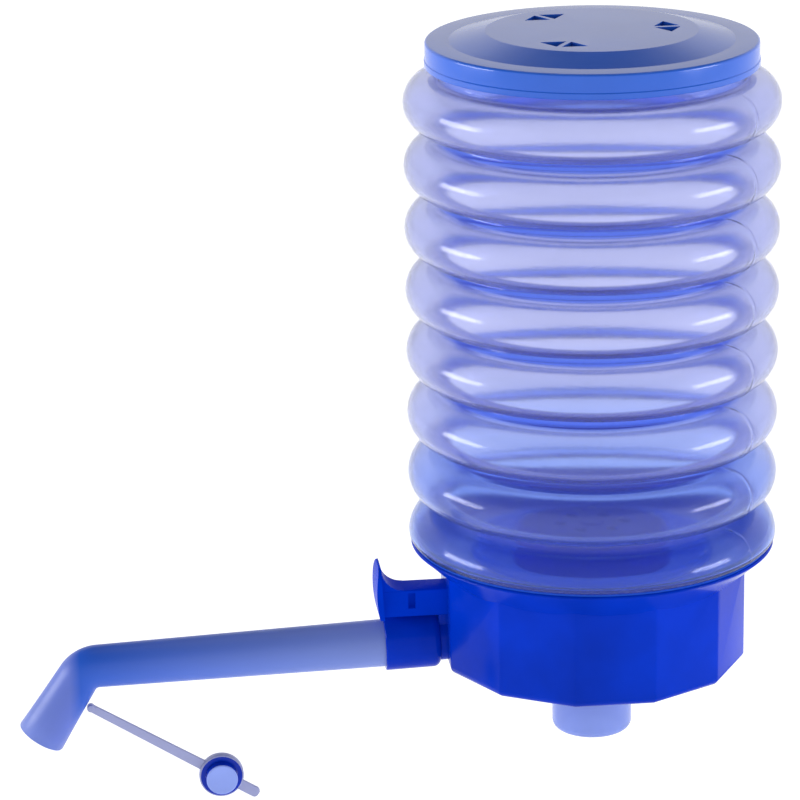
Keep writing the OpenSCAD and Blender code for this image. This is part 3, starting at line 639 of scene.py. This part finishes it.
class PUMP_OT_bellows(bpy.types.Operator):
    """Blow the bellows: eight rounded folds with a wall, and the mould's parting line"""
    bl_idname = "pump.bellows"
    bl_label = "Bellows"

    def execute(self, context):
        b = sizes("bellows")
        top = b.low_crest + (b.fold_n - 1) * b.fold_h
        rise = b.crest_round + b.groove_round - (b.crest_r - b.groove_r)
        rounds = b.crest_round + b.groove_round
        lean = math.atan2(rise, b.fold_h / 2) + math.acos(rounds / math.hypot(b.fold_h / 2, rise))
        flank = math.degrees(lean)
        crest_x, groove_x = b.crest_r - b.crest_round, b.groove_r + b.groove_round
        foot_r = 1.8 * MM
        foot_x, foot_z = b.crest_r - foot_r, b.low_crest - foot_r

        def crest(i, inset, side):
            """Where the flank touches a crest's rounding, above it or below."""
            r = b.crest_round - inset
            z = top - i * b.fold_h
            return crest_x + r * math.sin(lean), z + side * r * math.cos(lean)

        def groove(i, inset, side):
            """Where it touches a groove's rounding."""
            r, z = b.groove_round + inset, top - (i + 0.5) * b.fold_h
            return groove_x - r * math.sin(lean), z + side * r * math.cos(lean)

        shape = Outline(b.mouth_r, LIP_Z).line(
            (b.mouth_r, top + b.crest_round), (crest_x, top + b.crest_round))
        for i in range(b.fold_n - 1):
            shape.arc(crest_x, top - i * b.fold_h, 180 - flank * (1 if i == 0 else 2), 14)
            shape.line(groove(i, 0, 1))
            shape.arc(groove_x, top - (i + 0.5) * b.fold_h, 2 * flank - 180, 8)
            shape.line(crest(i + 1, 0, 1))
        shape.arc(crest_x, b.low_crest, 90 - flank, 8).arc(foot_x, b.low_crest, 90, 5)
        # The foot lies along the dish's inside: down its slope, over its floor, and back
        slope_top, slope_end, foot_in = 44.9 * MM, 39.35 * MM, 31.3 * MM
        over_end, over_top = 38.9 * MM, 44.4 * MM
        shape.line((slope_top, foot_z), (slope_end, FOLD_LOW), (foot_in, FOLD_LOW))
        shape.line((foot_in, FOLD_LOW + b.wall), (over_end, FOLD_LOW + b.wall))
        shape.line((over_top, foot_z + b.wall), (foot_x, foot_z + b.wall))
        shape.arc(foot_x, b.low_crest, -90, 4)
        shape.arc(crest_x, b.low_crest, flank - 90, 8)
        for i in reversed(range(b.fold_n - 1)):
            shape.line(groove(i, b.wall, -1))
            shape.arc(groove_x, top - (i + 0.5) * b.fold_h, 180 - 2 * flank, 8)
            shape.line(crest(i, b.wall, -1))
            shape.arc(crest_x, top - i * b.fold_h, flank * (1 if i == 0 else 2) - 180, 14)
        mouth_in = b.mouth_r - b.wall
        shape.line((mouth_in, top + b.crest_round - b.wall), (mouth_in, LIP_Z)).close()
        bm = shape.spin(144)
        self.parting_line(bm, b)
        made = piece(
            bm, "bellows_folds", "base", finish("clear_bellows"), ["bellows"],
            sharp=50)
        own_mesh(made)
        return {"FINISHED"}

    @staticmethod
    def parting_line(bm, b):
        """A low ridge on the outside, where the two halves of the mould met."""
        along = Vector((math.cos(b.seam_turn), math.sin(b.seam_turn), 0))
        across = Vector((-along.y, along.x, 0))
        half, mouth_h = 0.2 * MM, 6 * MM
        for off in (-half, 0, half):
            bmesh.ops.bisect_plane(
                bm, geom=bm.verts[:] + bm.edges[:] + bm.faces[:], dist=NOTHING / 10,
                plane_co=across * off, plane_no=across)
        for v in bm.verts:
            flat = Vector((v.co.x, v.co.y, 0))
            on_line = abs(flat.dot(across)) < NOTHING and b.low_crest < v.co.z < LIP_Z - mouth_h
            outside = flat.length > b.groove_r - b.wall / 2 and v.normal.dot(flat) > 0
            if on_line and outside:
                v.co += v.normal * b.seam_h


class PUMP_OT_cap(bpy.types.Operator):
    """Mould the cap: raised flat, slope, rim and skirt, with three pairs of vents"""
    bl_idname = "pump.cap"
    bl_label = "Cap"

    def execute(self, context):
        c = sizes("cap")
        low = CAP_TOP - c.skirt_h
        under = CAP_TOP - c.wall
        slope = math.atan2(DOME_Z - CAP_TOP, c.foot_r - c.dome_r)
        soft, lip, edge = 1.6 * MM, 0.2 * MM, 0.7 * MM
        turn = math.degrees(slope)
        bend = soft * math.tan(slope / 2)
        skirt_r, inner = c.radius - lip, c.radius - c.wall
        step_from, step_to = low + 1.7 * MM, low + 1.45 * MM
        mouth, mouth_h, chamfer = 40.1 * MM, 0.6 * MM, 1.2 * MM
        shape = Outline(0, DOME_Z).line((c.dome_r - bend, DOME_Z))
        shape.arc(c.dome_r - bend, DOME_Z - soft, turn, 4)
        shape.line((c.foot_r - bend * math.cos(slope), CAP_TOP + bend * math.sin(slope)))
        shape.arc(c.foot_r + bend, CAP_TOP + soft, -turn, 4)
        shape.line((skirt_r - edge, CAP_TOP)).arc(skirt_r - edge, CAP_TOP - edge, 90, 6)
        shape.line((skirt_r, step_from), (c.radius, step_to), (c.radius, low + lip))
        shape.arc(c.radius - lip, low + lip, 90, 3)
        shape.line((mouth, low), (mouth, low + mouth_h), (inner, low + chamfer), (inner, under))
        shape.line((c.foot_r - c.wall, under))
        shape.line((c.dome_r - c.wall / 2, DOME_Z - c.wall), (0, DOME_Z - c.wall))
        made = to_object(shape.close().spin(160), "cap")
        for turned in (0, 120, 240):
            for flip in (0, 180):
                made = combine(made, ("DIFFERENCE", self.vent(c, turned, flip)))
        piece(made, "vented_cap", "cap", finish("blue_cap"), ["press_cap"])
        return {"FINISHED"}

    @staticmethod
    def vent(c, turned, flip):
        """One vent with three equal sides, straight through the cap, its base along the bar."""
        bm = bmesh.new()
        start, half = c.vent_bar / 2, c.vent_side / 2
        tip = start + c.vent_side * math.sin(math.radians(60))
        under = CAP_TOP - 4 * MM
        corners = [(start, -half), (tip, 0), (start, half)]
        face = bm.faces.new([bm.verts.new((x, y, under)) for x, y in corners])
        raise_faces(bm, [face], (0, 0, DOME_Z + MM - under))
        return placed(
            bm, about_z(turned), Matrix.Translation((c.vent_ring_r, 0, 0)), about_z(90 + flip))


class PUMP_OT_collar(bpy.types.Operator):
    """Mould the collar: twelve sides, dish, socket, sleeve with lugs and ribs, and water pocket"""
    bl_idname = "pump.collar"
    bl_label = "Collar"

    def execute(self, context):
        c, b = sizes("collar"), sizes("button")
        deck, past = 2 * MM, MM
        floor = c.height + deck
        body = self.twelve_sides(0, floor, c.side_r)
        low = [e for e in body.edges if all(v.co.z < NOTHING for v in e.verts)]
        round_edges(body, low, c.rounding, 5)
        uprights = [e for e in body.edges if abs(e.verts[0].co.z - e.verts[1].co.z) > 10 * MM]
        round_edges(body, uprights, 0.5 * MM, 2)
        foot = c.side_r + 0.26 * MM
        slope = (c.dish_top - c.height) / (c.dish_r - foot)
        lip, rim = 0.5 * MM, 0.6 * MM
        rim_z, top = c.dish_top - rim, c.dish_top + past
        dish = Outline(0, c.height).line((foot, c.height), (c.dish_r - lip, rim_z - lip))
        dish.line((c.dish_r, rim_z)).arc(c.dish_r - rim, rim_z, -90, 4)
        dish.line((0, c.dish_top)).close()
        inner, floor_r = c.dish_r - c.dish_wall / slope, foot + (deck - c.dish_wall) / slope
        hollow = Outline(0, floor).line(
            (floor_r, floor), (inner, c.dish_top), (inner, top), (0, top)).close()
        well = rod(15.5 * MM, c.height - past, floor + past)
        made = combine(
            to_object(body, "collar"),
            ("UNION", dish.spin(144)),
            ("UNION", placed(self.socket(c), socket_frame(), sideways())),
            ("DIFFERENCE", self.room(c)),
            ("DIFFERENCE", hollow.spin(144)),
            ("DIFFERENCE", well),
            ("DIFFERENCE", rod(c.neck_r, -past, c.height, 96)),
            *[("DIFFERENCE", way) for way in (*self.water_ways(c), *self.button_guide(c, b))],
            ("UNION", self.seat_ring(c, floor)),
            ("UNION", self.neck_web(c)),
            *[("UNION", self.lug(i)) for i in range(4)],
        )
        # The dish's inside takes the lighter painted blue with its painted glow
        for face in made.data.polygons:
            inside = math.hypot(face.center.x, face.center.y) < c.dish_r - 0.7 * MM
            upward = face.center.z > floor - 0.1 * MM and face.normal.z > -0.1
            face.material_index = int(inside and upward)
        piece(made, "faceted_collar", "base",
              [finish("blue_collar"), finish("painted_lit_dish")], ["base_collar"], sharp=25)
        return {"FINISHED"}

    @classmethod
    def room(cls, c):
        """The free space between the flat sides and the sleeve, less the ribs and the pocket."""
        past, half_rib = MM, 0.7 * MM
        rib_low, rib_high, beyond = 1.2 * MM, 26 * MM, 45 * MM
        kept = [rod(c.sleeve_r, -2 * past, c.height + past, 96)]
        for i in range(12):
            rib = box(0, beyond, -half_rib, half_rib, rib_low, rib_high)
            kept.append(placed(rib, about_z(15 + 30 * i)))
        kept.append(cls.wedge(
            r_in=27 * MM, r_out=beyond, z0=-2 * past, z1=c.height + 2 * past,
            from_deg=-16, to_deg=37))
        space = cls.twelve_sides(-past, c.height, c.side_r - c.wall)
        return carved(space, *[("DIFFERENCE", solid) for solid in kept])

    @classmethod
    def water_ways(cls, c):
        """The water pocket's low and high part, the socket's bore, and two holes in the pocket."""
        bore, port, arm = 6.25 * MM, 4.2 * MM, 4.85 * MM
        bore_in, port_in, arm_in, arm_out = 3.3 * MM, -3.9 * MM, 27.5 * MM, 31.3 * MM
        arm_z, arm_turn = 19.9 * MM, 204
        at_arm = Matrix.Translation((0, 0, arm_z)) @ about_z(arm_turn)
        return (
            cls.wedge(r_in=30.3 * MM, r_out=35.6 * MM, z0=1.3 * MM, z1=12.65 * MM,
                      from_deg=-12, to_deg=33),
            cls.wedge(r_in=30.4 * MM, r_out=35.5 * MM, z0=11.65 * MM, z1=24.7 * MM,
                      from_deg=15.5, to_deg=32.5),
            placed(rod(bore, bore_in, c.socket_l + MM, 48), socket_frame(), sideways()),
            placed(rod(port, port_in, bore_in + MM, 48), socket_frame(), sideways()),
            placed(rod(arm, arm_in, arm_out, 48), at_arm, sideways()),
        )

    @staticmethod
    def button_guide(c, b):
        """The guide for the button's stem, the hole for its shaft, and the valve's chamber."""
        slack, inner_end, outer_end = 0.15 * MM, 33.4 * MM, 77 * MM
        half_w, half_h = b.stem_w / 2 + slack, b.stem_h / 2 + slack
        shaft, chamber, start, chamber_end = 2.1 * MM, 3.4 * MM, 27.5 * MM, 32.4 * MM
        return (
            placed(box(inner_end, outer_end, -half_w, half_w, -half_h, half_h), button_frame()),
            placed(rod(shaft, start, c.side_r, 32), button_frame(), sideways()),
            placed(rod(chamber, start, chamber_end, 32), button_frame(), sideways()),
        )

    @staticmethod
    def neck_web(c):
        """A web on the socket's neck, that ends just under the button's stem."""
        length, half, low, top = 2.2 * MM, 3 * MM, 9 * MM, 14 * MM
        return box(-c.side_r - length, -c.side_r + MM, -half, half, low, top, 0.3 * MM)

    @staticmethod
    def twelve_sides(z0, z1, side_r):
        bm = bmesh.new()
        corner = side_r / math.cos(math.pi / 12)
        bmesh.ops.create_cone(
            bm, cap_ends=True, segments=12, radius1=corner, radius2=corner, depth=z1 - z0,
            matrix=Matrix.Translation((0, 0, (z0 + z1) / 2)) @ about_z(15))
        return bm

    @staticmethod
    def wedge(r_in, r_out, z0, z1, from_deg, to_deg):
        """A block between two radii, over some degrees from the spout's direction."""
        bm = bmesh.new()
        corners = ((r_in, 0, z0), (r_out, 0, z0), (r_out, 0, z1), (r_in, 0, z1))
        face = bm.faces.new([bm.verts.new(corner) for corner in corners])
        bmesh.ops.spin(
            bm, geom=[face, *face.edges, *face.verts], cent=(0, 0, 0), axis=(0, 0, 1),
            angle=math.radians(to_deg - from_deg), steps=16)
        bmesh.ops.recalc_face_normals(bm, faces=bm.faces[:])
        return placed(bm, about_z(180 + from_deg))

    @staticmethod
    def socket(c):
        """The socket's round body on its narrower neck, made upright."""
        neck, start, end, round_r, edge = 5.7 * MM, 1.8 * MM, -2.6 * MM, 2 * MM, 0.35 * MM
        shape = Outline(0, end).line((neck, end), (neck, start), (c.socket_r - round_r, start))
        shape.arc(c.socket_r - round_r, start + round_r, -90, 8)
        shape.line((c.socket_r, c.socket_l - edge))
        shape.arc(c.socket_r - edge, c.socket_l - edge, -90, 3)
        return shape.line((0, c.socket_l)).close().spin(64)

    @staticmethod
    def seat_ring(c, floor):
        """The ring inside the dish that the bellows' foot snaps over."""
        inner, bead, edge = c.sleeve_r - 1.5 * MM, 0.6 * MM, 0.4 * MM
        low, top = floor - 0.5 * MM, floor + 4.6 * MM
        foot = FOLD_LOW + 1.1 * MM
        shape = Outline(inner, low).line(
            (c.sleeve_r, low), (c.sleeve_r, foot + bead / 2), (c.sleeve_r + bead, foot + bead),
            (c.sleeve_r, foot + 1.5 * MM), (c.sleeve_r, top - edge), (c.sleeve_r - edge, top),
            (inner + edge, top), (inner, top - edge))
        return shape.close().spin(96)

    @classmethod
    def lug(cls, i):
        """A lug that snaps under the bead of the bottle's neck."""
        width, reach = 9 * MM, 28 * MM
        half = math.degrees(width / 2 / reach)
        block = cls.wedge(r_in=27.5 * MM, r_out=29.4 * MM, z0=2 * MM, z1=4.4 * MM,
                          from_deg=-half, to_deg=half)
        return placed(block, about_z(45 + 90 * i))


class PUMP_OT_spout(bpy.types.Operator):
    """Draw the spout: one clear tube that bends down to its mouth"""
    bl_idname = "pump.spout"
    bl_label = "Spout"

    def execute(self, context):
        c, s = sizes("collar"), sizes("spout")
        there = socket_frame()
        start, edge, spans = 3.6 * MM, 0.3 * MM, 8
        root, way = there.translation, there.to_3x3() @ Vector((1, 0, 0))
        turn = math.degrees(s.turn)
        shorten = s.bend_round * math.tan(s.turn / 2)
        run, leg = s.run - shorten, s.leg - shorten
        lip = 0.5 * MM
        groove_r, groove_from, groove_to = s.radius - 0.8 * MM, 9.6 * MM, 11.3 * MM
        hose = Hose(root + way * start, way, s.radius - edge, 64)
        hose.grow(edge, s.radius)
        for to, radius in ((groove_from, s.radius), (groove_from, groove_r), (groove_to, groove_r),
                           (groove_to, s.radius), (c.socket_l, s.radius)):
            hose.grow(to - (hose.at - root).length, radius)
        for i in range(1, spans + 1):
            hose.grow(run / spans, s.radius + (s.bend_r - s.radius) * i / spans)
        hose.bend(turn, s.bend_round, 14)
        for share_down, flare in ((0.35, 0.28), (0.35, 0.62), (0.3, 1.0)):
            hose.grow((leg - lip) * share_down, s.bend_r + (s.lip_r - s.bend_r) * flare)
        # The lip's edge, and back up along the bore
        hose.grow(lip * 0.7, s.lip_r - lip * 0.3)
        hose.grow(lip * 0.3, s.lip_r - lip)
        hose.about()
        hose.grow(0, s.bore_r + lip)
        hose.grow(lip, s.bore_r)
        hose.grow(leg - lip, s.bore_r)
        hose.bend(-turn, s.bend_round, 14)
        for i in range(spans):
            hose.grow(run / spans, s.bore_r)
        hose.grow(c.socket_l - start, s.bore_r)
        bm = hose.bm
        open_edges = [e for e in bm.edges if len(e.link_faces) == 1]
        bmesh.ops.bridge_loops(bm, edges=open_edges)
        bmesh.ops.remove_doubles(bm, verts=bm.verts[:], dist=NOTHING)
        bmesh.ops.recalc_face_normals(bm, faces=bm.faces[:])
        piece(bm, "bent_spout", "spout", finish("clear_blue_spout"), ["spout"],
              sharp=40)
        return {"FINISHED"}


class PUMP_OT_strap(bpy.types.Operator):
    """Mould the cap strap with its ring and tab, and the plug that sits in the ring"""
    bl_idname = "pump.strap"
    bl_label = "Cap strap and plug"

    def execute(self, context):
        t = sizes("strap")
        past, slack = 3 * MM, 0.05 * MM
        half_t = t.ring_t / 2
        at_plug = Matrix.Translation((t.run, 0, 0))
        hole = rod(t.plug_r + slack, -past, past, 64)
        ring = rod(t.ring_r, -half_t, half_t, 64, 0.4 * MM)
        eye = rod(t.thickness, -t.width / 2, t.width / 2, 32, 0.2 * MM)
        made = combine(
            to_object(self.ribbon(t), "strap"), ("UNION", eye), ("UNION", placed(ring, at_plug)),
            ("DIFFERENCE", placed(hole, at_plug)))
        middle, ring_edge = Vector((t.run, 0, 0)), t.ring_r - 0.3 * MM
        for face in made.data.polygons:
            face.material_index = int((face.center - middle).length < ring_edge)
        made.data.transform(strap_frame() @ Matrix.Rotation(math.radians(90), 4, "X"))
        piece(made, "plug_strap", "strap",
              [finish("milky_strap"), finish("blue_plug")], ["cap_strap"])
        stand = 2.8 * MM
        plug = self.plug(t, -half_t, half_t + stand)
        for face in plug.faces:
            face.material_index = int(face.calc_center_median().z > half_t + stand - 0.3 * MM)
        turned = Matrix.Rotation(math.radians(-90), 4, "X")
        piece(placed(plug, strap_frame(), at_plug, turned), "mouth_plug", "strap",
              [finish("blue_plug"), finish("pale_blue_disc")], ["spout_plug"])
        return {"FINISHED"}

    @staticmethod
    def ribbon(t):
        """The strap and its tab as one flat band, with a round tip."""
        bm = bmesh.new()
        end = t.run + t.ring_r + t.tab
        corners = [(0, -t.width / 2), (t.run, -t.end_width / 2), (end, -t.end_width / 2),
                   (end, t.end_width / 2), (t.run, t.end_width / 2), (0, t.width / 2)]
        face = bm.faces.new([bm.verts.new((x, y, -t.thickness / 2)) for x, y in corners])
        raise_faces(bm, [face], (0, 0, t.thickness))
        tip = [e for e in bm.edges if all(v.co.x > end - NOTHING for v in e.verts)
               and abs(e.verts[0].co.z - e.verts[1].co.z) > NOTHING]
        round_edges(bm, tip, t.end_width * 0.4, 6)
        round_edges(bm, bm.edges[:], 0.22 * MM, 3)
        return bm

    @staticmethod
    def plug(t, low, high):
        """A stopper with a slightly hollow end towards +Z, that closes the spout's mouth."""
        edge = 0.35 * MM
        flat_r = t.plug_r - edge
        shape = Outline(0, low).line((flat_r, low)).arc(flat_r, low + edge, -90, 4)
        shape.line((t.plug_r, high - edge)).arc(flat_r, high - edge, -90, 4)
        shape.line((t.plug_r * 0.8, high - edge / 4), (t.plug_r * 0.5, high - edge / 2))
        return shape.line((0, high - edge * 0.6)).close().spin(64)


class PUMP_OT_button(bpy.types.Operator):
    """Mould the release button, and wind its spring"""
    bl_idname = "pump.button"
    bl_label = "Release button"

    def execute(self, context):
        b = sizes("button")
        low, top = -b.stem_h / 2, b.pad_h - b.stem_h / 2
        out = b.pad_in + b.pad_t
        half_w, half_h = b.stem_w / 2, b.stem_h / 2
        stem = box(b.stem_in, out - MM, -half_w, half_w, low, half_h, 0.35 * MM)
        # The pad's plate with its bowed face, and behind it a web that curves down to the stem
        bow_r, bow = 2.4 * b.pad_h, 11.5
        mid, lean = low + b.pad_h / 2, math.radians(bow)
        front = out - b.pad_plate / 2
        plate = Outline(out - b.pad_plate, low).line((front, low))
        plate.line((out - bow_r + bow_r * math.cos(lean), mid - bow_r * math.sin(lean)))
        plate.arc(out - bow_r, mid, -2 * bow, 12)
        plate.line((front, top), (out - b.pad_plate * 0.6, top)).close()
        curve = b.pad_h - b.stem_h - 0.8 * MM
        start = out - b.pad_plate * 0.75 - curve
        web = Outline(start, 0).line((start, half_h)).arc(start, half_h + curve, -90, 12)
        web.line((start + curve + 0.4 * MM, top), (out - MM, 0)).close()
        pocket, shaft, shaft_in = 3 * MM, 1.3 * MM, 30.7 * MM
        hollow = carved(
            rod(pocket, b.stem_in - MM, b.stem_in + 8 * MM, 32),
            ("DIFFERENCE", rod(shaft, 0, b.pad_in, 32)))
        core = rod(shaft, shaft_in, b.stem_in + 8.5 * MM, 32)
        made = combine(
            to_object(stem, "button"), ("UNION", web.push(b.stem_w - 0.2 * MM)),
            ("UNION", self.trimmed(plate.push(b.pad_w), b, low)),
            ("DIFFERENCE", placed(hollow, sideways())), ("UNION", placed(core, sideways())),
            *[("DIFFERENCE", self.window(b, side)) for side in (-1, 1)])
        made.data.transform(button_frame())
        piece(made, "press_button", "button", finish("blue_button"),
              ["release_button"], sharp=30)
        self.spring(b)
        return {"FINISHED"}

    @staticmethod
    def window(b, side):
        """A recess in one side of the stem."""
        x0, x1 = b.pad_in - 4.75 * MM, b.pad_in - 2.85 * MM
        y, deep, low, top = side * b.stem_w / 2, 2.6 * MM, -1.4 * MM, 2.8 * MM
        return box(x0, x1, y - deep, y + deep, low, top)

    @staticmethod
    def trimmed(block, b, low):
        """The pad with rounded corners, seen from the front."""
        top, half = low + b.pad_h, b.pad_w / 2
        front = box(b.pad_in - b.pad_t, b.pad_in + 2 * b.pad_t, -half, half, low, top)
        corners = [e for e in front.edges if all(v.co.z > top - NOTHING for v in e.verts)
                   and abs(e.verts[0].co.x - e.verts[1].co.x) > MM]
        round_edges(front, corners, b.pad_t * 0.8, 8)
        return carved(front, ("INTERSECT", block))

    @staticmethod
    def spring(b):
        """One wire, wound round the shaft by a spin that moves along as it turns."""
        low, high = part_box("release_spring")
        wire, mean = 0.3 * MM, 2.3 * MM
        turns, around = 6, 24
        start, end = low.x + wire, high.x - wire
        bm = bmesh.new()
        ring = bmesh.ops.create_circle(
            bm, segments=10, radius=wire,
            matrix=Matrix.Translation((start, 0, b.stem_z + mean))
            @ Matrix.Rotation(math.radians(90), 4, "X"))
        verts = ring["verts"]
        edges = list({e for v in verts for e in v.link_edges})
        steps = turns * around
        out = bmesh.ops.spin(
            bm, geom=verts + edges, cent=(start, 0, b.stem_z), axis=(1, 0, 0),
            dvec=((end - start) / steps, 0, 0), angle=math.tau * turns, steps=steps)
        for rim in (edges, [e for e in out["geom_last"] if isinstance(e, bmesh.types.BMEdge)]):
            bmesh.ops.contextual_create(bm, geom=rim)
        bmesh.ops.recalc_face_normals(bm, faces=bm.faces[:])
        made = piece(bm, "wound_spring", "base", finish("drawn_wire"),
                     ["release_spring"], sharp=60)
        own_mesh(made)


class PUMP_OT_inner_parts(bpy.types.Operator):
    """Give the CAD pieces that keep their own shape a finish"""
    bl_idname = "pump.inner_parts"
    bl_label = "Valves, seals and stub"

    def execute(self, context):
        worn = {
            "clear_blue_stub": ["tube_socket"],
            # The turret and the gaskets glow: light painted on as emission
            "blue_turret": ["valve_turret", "outlet_flap_pin"],
            "pale_plate": ["inlet_valve_plate"],
            "white_pin": ["inlet_flap_pin"],
            "black_rubber": [
                "inlet_flap", "outlet_flap", "arm_o_ring", "spout_o_ring", "release_seal"],
            "painted_lit_gasket": ["mouth_gasket", "foot_gasket"],
            "white_seal": ["neck_seal"],
            "drawn_wire": ["release_clip"],
        }
        for name, nodes in worn.items():
            for node in nodes:
                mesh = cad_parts[node].data
                mesh.materials.clear()
                mesh.materials.append(finish(name))
        return {"FINISHED"}


class PUMP_OT_stage(bpy.types.Operator):
    """Set up the light table, the softboxes and the camera"""
    bl_idname = "pump.stage"
    bl_label = "Studio"

    def execute(self, context):
        scene = context.scene
        s = sizes("studio")
        scene.view_settings.view_transform = "Standard"
        self.world(scene, s)
        bm = bmesh.new()
        bmesh.ops.create_grid(
            bm, x_segments=1, y_segments=1, size=4, matrix=Matrix.Translation((0, 0, -s.floor_z)))
        table = to_object(bm, "light_table")
        table.data.materials.append(self.table_top(s))
        self.softbox("left", place=(-0.88, 0.06, 0.20), width=0.50, height=0.20, power=3.6)
        self.softbox("right", place=(0.83, -0.34, 0.20), width=0.45, height=0.20, power=3.2)
        self.softbox("top", place=(0.05, 0.25, 0.95), width=0.7, height=0.5, power=0.8)
        lens = bpy.data.cameras.new("photo_camera")
        lens.lens, lens.sensor_width = LENS, 36
        lens.clip_start, lens.clip_end = 0.01, 50
        camera = bpy.data.objects.new("photo_camera", lens)
        camera.location = CAMERA_PLACE
        camera.rotation_euler = [math.radians(a) for a in CAMERA_TURN]
        scene.collection.objects.link(camera)
        scene.camera = camera
        return {"FINISHED"}

    @staticmethod
    def world(scene, s):
        """A white studio that is darker overhead."""
        world = bpy.data.worlds.new("studio")
        scene.world = world
        world.use_nodes = True
        tree = world.node_tree
        back = tree.nodes["Background"]
        coords = add(tree, "TexCoord")
        split = add(tree, "SeparateXYZ")
        ramp = add(tree, "ValToRGB")
        white, dark = ramp.color_ramp.elements
        white.position, white.color = 0.42, (1, 1, 1, 1)
        dark.position, dark.color = 0.62, (s.sky, s.sky, s.sky * 1.1, 1)
        tree.links.new(coords.outputs["Generated"], split.inputs["Vector"])
        tree.links.new(split.outputs["Z"], ramp.inputs["Fac"])
        tree.links.new(ramp.outputs["Color"], back.inputs["Color"])

    @staticmethod
    def table_top(s):
        mat = bpy.data.materials.new("table_top")
        mat.use_nodes = True
        set_all(mat.node_tree.nodes["Principled BSDF"], {
            "Base Color": (0.5, 0.5, 0.5, 1), "Roughness": 0.9,
            "Emission Color": (1, 1, 1, 1), "Emission Strength": s.table,
        })
        return mat

    @staticmethod
    def softbox(name, place, width, height, power):
        light = bpy.data.lights.new(name, "AREA")
        light.shape, light.size, light.size_y, light.energy = "RECTANGLE", width, height, power
        lamp = bpy.data.objects.new(name, light)
        lamp.location = place
        aim = Vector((0, 0, 0.07)) - Vector(place)
        lamp.rotation_euler = aim.to_track_quat("-Z", "Y").to_euler()
        bpy.context.scene.collection.objects.link(lamp)


class PUMP_PT_sidebar(bpy.types.Panel):
    """The pump's pieces and sizes"""
    bl_idname = "PUMP_PT_sidebar"
    bl_label = "Bottle pump"
    bl_space_type = "VIEW_3D"
    bl_region_type = "UI"
    bl_category = "Pump"

    def draw(self, context):
        for operator in STEPS:
            self.layout.operator(operator.bl_idname, text=operator.bl_label)
        for group in SETTINGS:
            box_ui = self.layout.box()
            box_ui.label(text=group.capitalize())
            held = sizes(group)
            for name in held.bl_rna.properties.keys():
                if name not in {"rna_type", "name"}:
                    box_ui.prop(held, name)


STEPS = (
    PUMP_OT_bellows, PUMP_OT_cap, PUMP_OT_collar, PUMP_OT_spout, PUMP_OT_strap, PUMP_OT_button,
    PUMP_OT_inner_parts, PUMP_OT_stage,
)


def register():
    for cls in (*SETTINGS.values(), *STEPS, PUMP_PT_sidebar):
        bpy.utils.register_class(cls)
    for group, cls in SETTINGS.items():
        setattr(bpy.types.Scene, "pump_" + group, bpy.props.PointerProperty(type=cls))


def unregister():
    for group in SETTINGS:
        delattr(bpy.types.Scene, "pump_" + group)
    for cls in reversed((*SETTINGS.values(), *STEPS, PUMP_PT_sidebar)):
        bpy.utils.unregister_class(cls)


def main():
    register()
    for operator in STEPS:
        group, name = operator.bl_idname.split(".")
        getattr(getattr(bpy.ops, group), name)()


if __name__ == "__main__":
    main()
